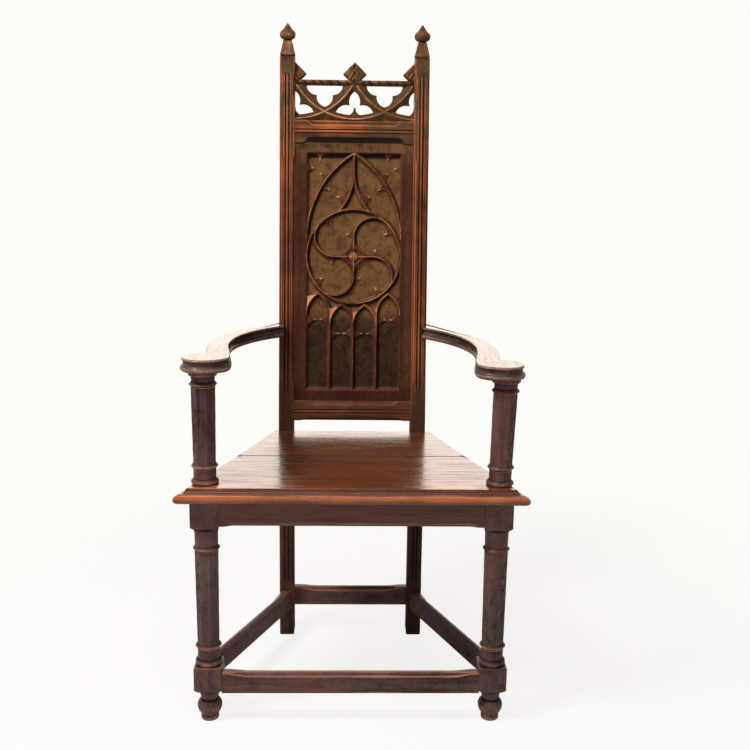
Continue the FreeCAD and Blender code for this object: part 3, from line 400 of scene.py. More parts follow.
def stations(length: float, step: float, zones: Iterable[Pair]) -> Array:
    """Places along a timber, closer together inside the zones that change.

    Args:
        length: Length of the timber.
        step: Usual spacing.
        zones: First and last place of each zone.

    Returns:
        Places in order from 0 to the length.
    """
    runs = [np.linspace(0.0, length, max(int(length / step), 2))]
    runs += [np.linspace(low, high, ZONE_STATIONS) for low, high in zones]
    places = np.unique(np.round(np.clip(np.concatenate(runs), 0.0, length), 2))
    places[-1] = length
    return places


@dataclass
class Timber:
    """Straight timber lofted along its length, in planes that its ends are cut on."""

    start: Array
    end: Array
    across: Array
    up: Array
    tone: float = 0.4
    rub: float = 0.0

    @property
    def length(self) -> float:
        """Length from end to end."""
        return float(np.linalg.norm(self.end - self.start))

    def skin(self, grain: Grain, places: Array, section: Callable[[float], list[Corner]]) -> Skin:
        """Loft the sections.

        Args:
            grain: Way of the grain.
            places: Distances along the timber.
            section: Gives the corners at a distance.

        Returns:
            The closed skin.
        """
        levels = []
        for place in places:
            points, marks = eased(section(float(place)), self.tone, self.rub)
            middle = self.start + (self.end - self.start) * (place / self.length)
            levels.append((middle + points[:, :1] * self.across + points[:, 1:] * self.up, marks))
        return Skin.around(grain, levels)


@dataclass
class Rails:
    """Seat rails with a stopped chamfer below, and stretchers with one on each upper edge."""

    layout: Layout
    chamfer: float = 7.0
    arris: float = 0.8
    hand: float = 0.4
    flat_half: float = 1.0
    stop_run: float = 20.0
    long_stop: float = 42.0
    stop_set: float = 8.0
    rear_tuck: float = 17.0
    overlap: float = 0.6
    step: float = 14.0
    rubbed: float = 1.35
    inner_wear: float = 0.6
    rear_wear: float = 0.5
    low_wear: float = 0.8
    rail_tone: float = 0.05
    stretcher_tone: float = 0.4
    cross_seed: float = 2.0
    side_seed: float = 5.0

    def cross(self, node: str, shoulder: float) -> tuple[Timber, float]:
        """Place a rail or stretcher across the chair.

        Args:
            node: Frame node that gives its section.
            shoulder: Distance of its shoulders from the middle.

        Returns:
            The timber, and its thickness from its outer face inwards.
        """
        low, high = box_mm(node)
        front = low[1] - (self.rear_tuck if node == "rear_seat_rail" else 0.0)
        start, end = (np.array([side * (shoulder + self.overlap), front, low[2]]) for side in SIDES.values())
        return Timber(start, end, AXES[1], AXES[2]), high[1] - front

    def along(self, node: str, side: int) -> tuple[Timber, float]:
        """Place a rail or stretcher from a front leg back to a rear post.

        Args:
            node: Frame node that gives its height.
            side: -1 on the left, 1 on the right.

        Returns:
            The timber, and its thickness from its outer face inwards.
        """
        plan = self.layout
        low, high = box_mm(node)
        inner, outer = sorted(np.abs([low[0], high[0]]))
        half = plan.post_x - inner
        start = np.array([side * outer, plan.front_y + plan.block / 2 - self.overlap, low[2]])
        end = np.array([side * (plan.post_x + half), plan.back_y + self.overlap, low[2]])
        return Timber(start, end, -side * AXES[0], AXES[2]), 2 * half

    def rail(self, node: str, placed: tuple[Timber, float], grain: Grain, seed: float) -> Skin:
        """Loft a stretcher with chamfers on both upper edges, or a rail with one below.

        Args:
            node: Frame node that gives its height.
            placed: The timber and its thickness.
            grain: Way of the grain.
            seed: Number for its unevenness.

        Returns:
            The skin of the rail.
        """
        timber, thick = placed
        low_corner, high_corner = box_mm(node)
        tall = high_corner[2] - low_corner[2]
        stretcher = node.endswith("stretcher")
        timber.tone = self.stretcher_tone if stretcher else self.rail_tone
        bright = self.rubbed if stretcher else 1.0
        run = self.long_stop if stretcher else self.stop_run
        length = timber.length

        def section(place: float) -> list[Corner]:
            """Corners at a distance along the timber."""
            share = stopped(place, self.stop_set, length - self.stop_set, run)
            deep = self.chamfer + self.hand * wander(place, seed)
            cut = self.arris + (deep - self.arris) * share
            plain = self.arris + self.hand / 2 * wander(place, seed + 1)
            low, high = (plain, cut) if stretcher else (cut, plain)
            top = min(high, thick / 2 - self.flat_half)
            return [Corner(0, low, CUT_EASE), Corner(0, tall - high, CUT_EASE, bright),
                    Corner(top, tall, CUT_EASE, bright), Corner(thick - top, tall, CUT_EASE, self.inner_wear),
                    Corner(thick, tall - high, CUT_EASE, self.inner_wear),
                    Corner(thick, 0, REAR_EASE, self.rear_wear), Corner(low, 0, CUT_EASE, self.low_wear)]

        places = stations(length, self.step, stop_zones(length, [self.stop_set], run))
        return timber.skin(grain, places, section)

    def build(self, finish: Material) -> None:
        """Build and dress every rail and stretcher."""
        plan = self.layout
        shoulders = {"front": plan.leg_x - plan.block / 2, "rear": plan.post_inner}
        for kind in ("seat_rail", "stretcher"):
            for seed, (end, shoulder) in enumerate(shoulders.items()):
                node = f"{end}_{kind}"
                skin = self.rail(node, self.cross(node, shoulder), Grain.ACROSS, seed + self.cross_seed)
                skin.build(f"{node}_oak", finish, "frame_oak", [node])
            for name, side in SIDES.items():
                node = f"{name}_{kind}"
                skin = self.rail(node, self.along(node, side), Grain.DEEP, side + self.side_seed)
                skin.build(f"{node}_oak", finish, "frame_oak", [node])


@dataclass(frozen=True)
class RailForm:
    """Form of one rail of the back, with the height and depth of its upper and its lower chamfer, and the
    painted shadow on its lower chamfer.
    """

    high: float
    cuts: Pair
    depths: Pair
    tone: float
    darkening: float = 0.0
    rub: float = 0.0


@dataclass
class BackRails:
    """Upper and lower rail of the back, with hollow stopped chamfers and two sunk lines."""

    layout: Layout
    lower: RailForm = RailForm(41.0, (9.0, 5.5), (3.4, 4.6), 0.45)
    # The upper rail's lower chamfer is painted dark as shadow
    upper: RailForm = RailForm(45.5, (11.0, 12.0), (6.6, 3.2), 0.6, 0.95, 0.55)
    lower_base: float = 14.0
    upper_drop: float = 126.0
    front_set: float = 2.0
    thick: float = 24.0
    stop_sets: Pair = (23.0, 14.0)
    stop_run: float = 18.0
    arris: float = 0.8
    hollow: float = 0.9
    hollow_darkening: float = 0.45
    hollow_wear: float = 0.1
    line_step: float = 3.3
    line_deep: float = 1.6
    line_half: float = 1.3
    line_bed: float = 0.4
    line_wear: float = 0.8
    lip_wear: float = 0.45
    lip_set: float = 1.6
    lip_share: float = 0.25
    base_wear: float = 0.3
    rear_wear: float = 0.5
    overlap: float = 0.6
    step: float = 20.0

    def sunk_lines(self, middle: float) -> list[Corner]:
        """Corners of the two sunk lines on a rail's face.

        Args:
            middle: Height of the face's middle.

        Returns:
            Corners from the lower lip of the lower line upwards.
        """
        lines = []
        for place in (middle - self.line_step, middle + self.line_step):
            for share, deep in ((-1, 0), (-self.line_bed, 1), (self.line_bed, 1), (1, 0)):
                wear = 0.0 if deep else self.line_wear
                lines.append(Corner(deep * self.line_deep, place + share * self.line_half, 0, wear, deep))
        return [replace(lines[0], wear=self.lip_wear)] + lines[1:]

    def rail(self, form: RailForm, base: float) -> Skin:
        """One rail with a chamfer on each front edge and two sunk lines along its face.

        Args:
            form: Form of the rail.
            base: Its lower edge up the rake.

        Returns:
            The skin of the rail.
        """
        plan = self.layout
        origin = plan.raked(0.0, base, self.front_set)
        up = plan.raked(0.0, base + 1.0, self.front_set) - origin
        inward = plan.raked(0.0, base, self.front_set + 1.0) - origin
        ends = AXES[0] * (plan.post_inner + self.overlap)
        timber = Timber(origin - ends, origin + ends, inward, up, form.tone, form.rub)
        length = timber.length
        high = form.high
        lines = self.sunk_lines((form.cuts[1] + high - form.cuts[0]) / 2)

        def section(place: float) -> list[Corner]:
            """Corners at a distance along the rail."""
            shares = [stopped(place, stop, length - stop, self.stop_run) for stop in self.stop_sets]
            top, low, top_in, low_in = (self.arris + (full - self.arris) * share
                                        for full, share in zip(form.cuts + form.depths, shares * 2))
            # Painted shadow on the lower chamfer
            chamfer_shadow = form.darkening * shares[1]
            stain = self.hollow_darkening * math.sqrt(shares[0])
            return ([Corner(0, low, 0, self.lip_wear)] + lines + [
                Corner(0, high - top, CUT_EASE),
                Corner(top_in / 2 + self.hollow * shares[0], high - top / 2, 0, self.hollow_wear, stain),
                Corner(top_in, high, CUT_EASE), Corner(self.thick, high, REAR_EASE, self.rear_wear),
                Corner(self.thick, 0, REAR_EASE, self.rear_wear), Corner(low_in, 0, 0, self.base_wear, chamfer_shadow),
                Corner(low_in / 2 + self.hollow * shares[1], low / 2, 0, 0, chamfer_shadow),
                Corner(self.lip_share * low_in, low - self.lip_set, 0, 0, chamfer_shadow)])

        places = stations(length, self.step, stop_zones(length, self.stop_sets, self.stop_run))
        return timber.skin(Grain.ACROSS, places, section)

    def build(self, finish: Material) -> None:
        """Build and dress both rails."""
        upper_base = self.layout.slant - self.upper_drop - self.upper.high
        for name, form, base in (("lower", self.lower, self.lower_base), ("upper", self.upper, upper_base)):
            node = f"{name}_back_rail"
            self.rail(form, base).build(f"{node}_oak", finish, "frame_oak", [node])


@dataclass(frozen=True)
class Level:
    """Level of a turned piece: height, half width, outline, wear and dirt."""

    height: float
    half: float
    shape: Shape = Shape.ROUND
    wear: float = 0.0
    dirt: float = 0.0


def stacked(sizes: Iterable[Sequence[float]], base: float = 0.0, shape: Shape = Shape.ROUND) -> list[Level]:
    """Levels of one outline, from rows of height over a base, half width, wear and dirt."""
    return [Level(base + height, half, shape, *marks) for height, half, *marks in sizes]


def outline_of(shape: Shape) -> tuple[Array, Array]:
    """Outline of half width 1 round a turned piece.

    Args:
        shape: Which outline.

    Returns:
        Its distance from the middle and the wear on its corners, for each angle.
    """
    if shape is Shape.ROUND:
        return np.ones_like(TURN), np.zeros_like(TURN)
    sector = 2 * math.pi / shape.value
    away = np.abs((TURN + sector / 2) % sector - sector / 2)
    reach = np.minimum(1.0 / np.cos(away), BLUNT / math.cos(sector / 2))
    return reach, np.where(away > sector / 2 - CORNER_TURN, CORNER_WEAR, 0.0)


def turned_skin(centre: Triple, levels: Sequence[Level], tone: float,
                carve: Callable[[float], Array] | None = None, lean: float = 0.0) -> Skin:
    """Skin of a turned or squared piece about an upright axis.

    Args:
        centre: Middle of its foot.
        levels: Levels from the foot up.
        tone: Tone of the wood.
        carve: Gives the depth of shallow carving round the piece at a height.
        lean: How far its top stands to the right of its foot.

    Returns:
        The closed skin.
    """
    rings = []
    base, top = levels[0].height, levels[-1].height
    for level in levels:
        cut = carve(level.height) if carve else np.zeros_like(TURN)
        reach, corners = outline_of(level.shape)
        reach = level.half * reach - cut
        ring = joined(reach * np.sin(TURN), -reach * np.cos(TURN), level.height) + np.array(centre)
        ring[:, 0] += lean * (level.height - base) / (top - base)
        wear = np.maximum(level.wear, corners * (1 - level.dirt))
        rings.append((ring, joined(wear, np.maximum(level.dirt, cut), tone)))
    return Skin.around(Grain.UPRIGHT, rings)


@dataclass
class Posts:
    """Rear posts with stopped chamfers and a sunk bead, and the finials on them."""

    layout: Layout
    arris: float = 0.9
    chamfer: float = 5.0
    long_chamfer: Pair = (83.0, 562.0)
    outer_lozenge: Pair = (671.0, 729.0)
    inner_lozenge: Pair = (655.0, 738.0)
    bead: Pair = (66.0, 732.0)
    low_run: Pair = (-357.0, -22.0)
    stop_run: float = 16.0
    lozenge_run: float = 30.0
    bead_run: float = 14.0
    bead_half: float = 6.2
    bead_deep: float = 2.2
    bead_narrow: float = 0.25
    foot_high: float = 3.0
    foot_rows: Triple = (0.0, 1.0, 3.0)
    low_start: float = 20.0
    low_steps: int = 22
    stop_steps: int = 6
    stop_reach: float = 18.0
    step: float = 24.0
    rear_ease: float = 1.2
    rear_wear: float = 0.6
    # Painted highlight on the right post's inner chamfer, where the key light falls, added to its wear
    right_chamfer_highlight: float = 0.5
    low_dull: float = 0.75
    rub: float = 0.3
    tone: float = 0.15
    uneven_tone: float = 0.12
    olive_from: float = 960.0
    olive_run: float = 170.0
    olive_tone: float = 0.8
    # Painted shade on the lower posts: full below a height, fading out over a run above it, with a browner
    # tone there
    dull_to: float = 540.0
    dull_run: float = 200.0
    low_shade: float = 0.5
    dull_tone: float = 0.4
    finial_tone: float = 1.0

    # Half of the bead's section: share of its half width, share of its depth, wear and dirt
    BEAD = ((-1.0, 0.0, 0.9, 0.0), (-0.86, 0.0, 1.0, 0.1), (-0.72, 1.0, 0.0, 1.0), (-0.52, 1.0, 0.0, 1.0),
            (-0.4, 0.35, 0.3, 0.3), (-0.2, 0.05, 0.9, 0.0), (0.0, 0.0, 1.0, 0.0))
    # Height, half width, wear and dirt of the finial's square base and of its round bud
    BASE = ((0.0, 13.2, 0, 1), (1.8, 13.2, 0, 1), (2.0, 15.1, 0.45), (5.6, 15.3, 0.6), (6.6, 14.6, 0.6),
            (12.0, 13.3, 0.6), (20.0, 11.5, 0.55), (28.0, 9.6, 0.6), (31.8, 8.7, 0.4, 0.3))
    BUD = ((32.8, 7.8, 0, 1), (33.6, 8.4, 0, 0.9), (34.6, 11.0, 0.1, 0.4), (36.6, 13.8, 0.3),
           (39.6, 15.7, 0.5), (43.0, 16.4, 0.7), (45.6, 16.4, 0.6), (47.8, 15.6, 0.3), (50.2, 13.8, 0.2),
           (52.6, 11.2, 0.1), (54.6, 8.8, 0, 0.5), (55.6, 7.4, 0, 0.9), (56.6, 7.2, 0.3, 0.2),
           (59.0, 5.8, 0.4), (62.4, 3.6, 0.5), (65.2, 1.7, 0.8))
    TIP = (0.5, 1.0)

    def section(self, side: int, up: float) -> list[Corner]:
        """Section of a post, across from its middle and back from its front.

        Args:
            side: -1 for the left post, 1 for the right.
            up: Distance up the rake, below 0 in the upright part.

        Returns:
            Corners in order round the section.
        """
        plan = self.layout
        half = (plan.post_outer - plan.post_inner) / 2
        z = plan.height(up)
        deep = plan.post_depth_at(z)
        low_cut = stopped(up, *self.low_run, self.stop_run)
        long_cut = max(stopped(up, *self.long_chamfer, self.stop_run), low_cut)
        lozenges = (stopped(up, *self.inner_lozenge, self.lozenge_run),
                    stopped(up, *self.outer_lozenge, self.stop_run))
        cuts = [self.arris + (self.chamfer - self.arris) * max(long_cut, lozenge) for lozenge in lozenges]
        left, right = cuts[::side]
        foot = self.arris * (1 - smooth(z / self.foot_high))
        share = max(stopped(up, *self.bead, self.bead_run), low_cut)
        spread = self.bead_half * (self.bead_narrow + (1 - self.bead_narrow) * share)
        sunk = self.bead_deep * share
        rubbed = 1.0 - self.low_dull * low_cut
        # The right post's inner chamfer gets a painted highlight on top of its wear
        glow = rubbed * (1.0 + self.right_chamfer_highlight * long_cut if side > 0 else 1.0)
        mirrored = [(-place, *rest) for place, *rest in self.BEAD[-2::-1]]
        beads = [Corner(place * spread, level * sunk + foot, 0, wear * share * rubbed, dirt * share)
                 for place, level, wear, dirt in [*self.BEAD, *mirrored]]
        rear = [Corner(end * (half - foot), deep - foot, self.rear_ease, self.rear_wear) for end in (1, -1)]
        first = [Corner(foot - half, left + foot, CUT_EASE, glow),
                 Corner(left - half + foot, foot, CUT_EASE, glow)]
        last = [Corner(half - right - foot, foot, CUT_EASE, rubbed),
                Corner(half - foot, right + foot, CUT_EASE, rubbed)]
        return first + beads + last + rear

    def places(self) -> Array:
        """Distances up a post at which its section is taken.

        Returns:
            Distances from the floor, below 0, to the post's top.
        """
        start = self.layout.rake_start
        lows = [np.array(self.foot_rows), np.linspace(self.low_start, start, self.low_steps)]
        reaches = (STOP_MARGIN, self.stop_reach)
        for place, before, after in zip(self.low_run, reaches, reaches[::-1]):
            lows.append(np.linspace(place - before, place + after, self.stop_steps) + start)
        below = np.unique(np.concatenate(lows)) - start
        ends = (*self.long_chamfer, *self.outer_lozenge, *self.inner_lozenge, *self.bead)
        zones = [(place - self.stop_reach, place + self.stop_reach) for place in ends]
        return np.concatenate([below[:-1], stations(self.layout.slant, self.step, zones)])

    def post(self, side: int) -> Skin:
        """Loft one post from the floor to its top.

        Args:
            side: -1 for the left post, 1 for the right.

        Returns:
            The skin of the post.
        """
        plan = self.layout
        levels = []
        for up in self.places():
            points, marks = eased(self.section(side, float(up)), self.tone, self.rub)
            z = plan.height(up)
            # Painted shade on the lower posts, darker towards the floor
            dull = 1 - smooth((z - self.dull_to) / self.dull_run)
            olive = smooth((z - self.olive_from) / self.olive_run)
            marks[:, 1] = np.maximum(marks[:, 1], self.low_shade * dull)
            marks[:, 2] += self.uneven_tone * wander(up, side) + self.olive_tone * olive
            marks[:, 2] += self.dull_tone * dull
            x, y = side * plan.post_x + points[:, 0], plan.post_front(z) + points[:, 1]
            levels.append((joined(x, y, z), marks))
        return Skin.around(Grain.UPRIGHT, levels)

    def finial(self, side: int) -> Skin:
        """Square flared base under a round bud with an ogee point.

        Args:
            side: -1 on the left, 1 on the right.

        Returns:
            The skin of the finial.
        """
        plan = self.layout
        tip = (plan.finial_top - plan.post_top, *self.TIP)
        levels = stacked(self.BASE, shape=Shape.SQUARE) + stacked([*self.BUD, tip])
        return turned_skin((side * plan.post_x, plan.finial_y, plan.post_top), levels, self.finial_tone)

    def build(self, finish: Material, finial_finish: Material) -> None:
        """Build and dress both posts and finials."""
        for name, side in SIDES.items():
            self.post(side).build(f"{name}_post_oak", finish, "frame_oak", [f"{name}_rear_post"])
            self.finial(side).build(f"{name}_finial_oak", finial_finish, "frame_oak", [f"{name}_finial"])


@dataclass
class Turnings:
    """Front legs and arm supports, turned at their ends and octagonal between."""

    layout: Layout
    right_shift: float = 1.5
    right_lean: float = 4.5
    zigzag_pitch: float = 46.0
    zigzag_wide: float = 4.6
    zigzag_half: float = 1.7
    zigzag_deep: float = 0.9
    zigzag_tick: float = 0.06
    face_turn: float = 0.39
    cut_turn: float = 0.36
    leg_zigzag: Pair = (196.0, 328.0)
    support_zigzag: Pair = (42.0, 60.0)
    lower_half: float = 19.2
    upper_half: float = 20.6
    shaft_steps: int = 61
    shaft_set: float = 5.5
    waver: float = 0.22
    waver_pitch: float = 3.0
    waver_seed: float = 2.0
    bead_steps: int = 7
    bead_age: float = 0.8
    block_cut: float = 6.0
    block_age: Pair = (0.1, 0.5)
    block_ends: Pair = (14.0, 5.0)
    block_steps: int = 4
    lower_block: Pair = (60.0, 111.0)
    upper_block: float = 377.0
    leg_bead: Triple = (11.0, 21.8, 24.5)
    leg_rings: Pair = (148.0, 338.0)
    leg_ring_halves: Pair = (24.0, 24.4)
    support_bead: Triple = (10.0, 21.5, 25.6)
    support_rings: Pair = (32.0, 24.0)
    support_ring_halves: Pair = (23.9, 24.6)
    leg_tone: float = 0.45
    support_tone: float = 0.35

    # Height against a ring's arris, half width or drop from its reach, wear and dirt
    # The bright band of wear on each ring's lower flank is a painted highlight of the floor's reflection
    RING_LOW = ((-5.6, 20.3, 0, 0.5), (-5.0, 20.5, 1.3), (-4.0, 20.9, 1.3))
    RING_ARRIS = ((-2.6, 2.4, 0, 0.4), (-1.0, 0.9, 0.4), (0.0, 0.0, 0.9), (1.0, 0.7, 0.9))
    RING_HIGH = ((4.0, 20.9, 0, 0.4), (5.0, 20.4, 0, 0.8))
    # Height over a block's cut or against its top, drop from its half width, wear and dirt
    BLOCK_LOW = ((-0.6, 0.8, 0.8), (0.6, 0.0, 0.6), (5.0, 0.0))
    BLOCK_HIGH = ((-1.0, 0.0, 0.7), (0.0, 0.9, 0.9))
    # Height, half width, wear and dirt: bun foot, neck over the lower block, neck under the upper block
    FOOT = ((0, 15.4, 0.6), (1.2, 16.4, 1.0), (5.0, 16.6, 0.8), (9.4, 16.3, 0.5), (10.4, 16.1, 0, 0.7),
            (12.4, 17.2, 0, 0.2), (15.5, 19.3, 0.2), (19.5, 21.4, 0.5), (24.0, 22.6, 0.7), (28.0, 22.9, 0.6),
            (32.0, 22.3, 0.4), (35.5, 20.7, 0.2), (38.4, 18.4, 0, 0.3), (40.2, 16.6, 0, 0.9),
            (42.0, 16.0, 0, 0.8), (45.0, 16.4, 0.1), (50.0, 17.6, 0.1), (55.0, 18.8, 0, 0.3),
            (60.0, 19.2, 0, 0.7))
    LOW_NECK = ((123, 20.8, 0, 0.9), (127, 20.2), (138, 20.2))
    HIGH_NECK = ((346, 21.0), (362, 21.2), (371, 21.4), (372, 22.6, 0.7), (375, 22.6, 0.5),
                 (376.5, 21.4, 0, 0.9))
    # The same over the seat and under the arm
    SUPPORT_FOOT = ((0, 23.2, 0, 0.8), (1.5, 24.2, 0, 0.3), (3.5, 24.8, 1.0), (5.0, 24.4, 0.9),
                    (8.5, 20.8, 0, 0.4), (9.5, 20.2, 0, 0.8), (14.0, 20.0), (24.0, 20.2))
    SUPPORT_NECK = ((-16.0, 20.6), (-12.0, 20.8), (-10.6, 21.0, 0, 0.9))

    def ring(self, height: float, reach: float) -> list[Level]:
        """Turned ring that comes to a worn arris, with a quirk on each side.

        Args:
            height: Height of its arris.
            reach: Half width at its arris.

        Returns:
            Levels from the lower quirk up.
        """
        arris = [(level, reach - drop, *marks) for level, drop, *marks in self.RING_ARRIS]
        return stacked([*self.RING_LOW, *arris, *self.RING_HIGH], height)

    def bead(self, base: float, high: float, root: float, reach: float) -> list[Level]:
        """Round bead.

        Args:
            base: Its lower edge.
            high: Its height.
            root: Half width at its edges.
            reach: Half width at its middle.

        Returns:
            Levels from its lower edge up.
        """
        shares = np.linspace(0, 1, self.bead_steps)
        bulges = np.sqrt(np.maximum(1 - (2 * shares - 1) ** 2, 0.0))
        return stacked(zip(high * shares, root + (reach - root) * bulges, self.bead_age * bulges,
                           self.bead_age * (1 - bulges)), base)

    def block(self, base: float, top: float) -> list[Level]:
        """Square block, cut back under its lower edges.

        Args:
            base: Its underside.
            top: Its top.

        Returns:
            Levels from its underside up.
        """
        half = self.layout.block / 2
        cut = self.block_cut
        sizes = [(base, half - cut, *self.block_age)]
        sizes += [(base + cut + height, half - drop, *marks) for height, drop, *marks in self.BLOCK_LOW]
        low, high = base + self.block_ends[0], top - self.block_ends[1]
        sizes += [(height, half) for height in np.linspace(low, high, self.block_steps)]
        sizes += [(top + height, half - drop, *marks) for height, drop, *marks in self.BLOCK_HIGH]
        return stacked(sizes, shape=Shape.SQUARE)

    def zigzag(self, side: int, low: float, high: float) -> Callable[[float], Array]:
        """Shallow zigzag cut into the outer front face of a shaft.

        Args:
            side: -1 on the left, 1 on the right.
            low: Where the cuts begin.
            high: Where they end.

        Returns:
            A function from the height to the depth of the cuts round the shaft.
        """
        face = (TURN - side * math.pi / 4 + math.pi) % (2 * math.pi) - math.pi
        across = self.lower_half * np.tan(np.clip(face, -self.face_turn, self.face_turn))
        on_face = np.abs(face) < self.cut_turn

        def depth(height: float) -> Array:
            """Depth of the cuts at a height."""
            turns = height / self.zigzag_pitch
            swing = abs(turns % 1.0 * 2 - 1) * 2 - 1
            off = np.abs(across - self.zigzag_wide * swing)
            tick = abs((turns * 2) % 1.0 - 0.5) < self.zigzag_tick
            line = smooth((self.zigzag_half - off) / self.zigzag_half)
            cut = np.maximum(line, tick * (across * swing > 0) * 1.0)
            return self.zigzag_deep * cut * on_face * (low < height < high)

        return depth

    def shaft(self, rings: Pair, reaches: Pair) -> list[Level]:
        """Octagonal shaft between two rings, a little wider at its top and cut by hand.

        Args:
            rings: Height of each ring.
            reaches: Half width of each ring.

        Returns:
            Levels from the lower ring up.
        """
        base, top = rings[0] + self.shaft_set, rings[1] - self.shaft_set
        sizes = []
        for share in np.linspace(0, 1, self.shaft_steps):
            height = base + (top - base) * share
            half = self.lower_half + (self.upper_half - self.lower_half) * share
            sizes.append((height, half + self.waver * wander(height * self.waver_pitch, self.waver_seed)))
        lower, upper = (self.ring(height, reach) for height, reach in zip(rings, reaches))
        return lower + stacked(sizes, shape=Shape.OCTAGON) + upper

    def leg(self, side: int) -> Skin:
        """Front leg from its bun foot to the seat.

        Args:
            side: -1 on the left, 1 on the right.

        Returns:
            The skin of the leg.
        """
        plan = self.layout
        levels = stacked(self.FOOT) + self.block(*self.lower_block)
        levels += self.bead(self.lower_block[1], *self.leg_bead) + stacked(self.LOW_NECK)
        levels += self.shaft(self.leg_rings, self.leg_ring_halves)
        levels += stacked(self.HIGH_NECK) + self.block(self.upper_block, plan.seat_under)
        middle = (side * plan.leg_x, plan.front_y, 0.0)
        return turned_skin(middle, levels, self.leg_tone, self.zigzag(side, *self.leg_zigzag))

    def support(self, side: int) -> Skin:
        """Arm support from the seat to the arm, each as tall and as far out as it stands.

        Args:
            side: -1 on the left, 1 on the right.

        Returns:
            The skin of the support.
        """
        plan = self.layout
        seat = plan.seat_top
        under = plan.arm_under + plan.lift(side)
        rings = (seat + self.support_rings[0], under - self.support_rings[1])
        levels = stacked(self.SUPPORT_FOOT, seat) + self.shaft(rings, self.support_ring_halves)
        levels += stacked(self.SUPPORT_NECK, under)
        levels += self.bead(under - self.support_bead[0], *self.support_bead)
        shift, lean = (self.right_shift, self.right_lean) if side > 0 else (0.0, 0.0)
        carve = self.zigzag(side, seat + self.support_zigzag[0], under - self.support_zigzag[1])
        middle = (side * plan.leg_x + shift, plan.front_y, 0.0)
        return turned_skin(middle, levels, self.support_tone, carve, lean)

    def build(self, finish: Material) -> None:
        """Build and dress the legs and supports."""
        for name, side in SIDES.items():
            self.leg(side).build(f"{name}_leg_oak", finish, "frame_oak", [f"{name}_front_leg"])
            self.support(side).build(f"{name}_support_oak", finish, "frame_oak", [f"{name}_arm_support"])


def sweep(start: Pair, end: Pair, steps: int) -> Array:
    """Arc in plan that leaves its start straight back and bends inwards to its end.

    Args:
        start: First point.
        end: Last point, further back and further in.
        steps: Number of points.

    Returns:
        Points from the start to the end.
    """
    drop, run = start[0] - end[0], end[1] - start[1]
    bend = (drop ** 2 + run ** 2) / (2 * drop)
    away = run * np.sin(np.linspace(0, math.pi / 2, steps))
    return joined(start[0] - bend + np.sqrt(bend ** 2 - away ** 2), start[1] + away)


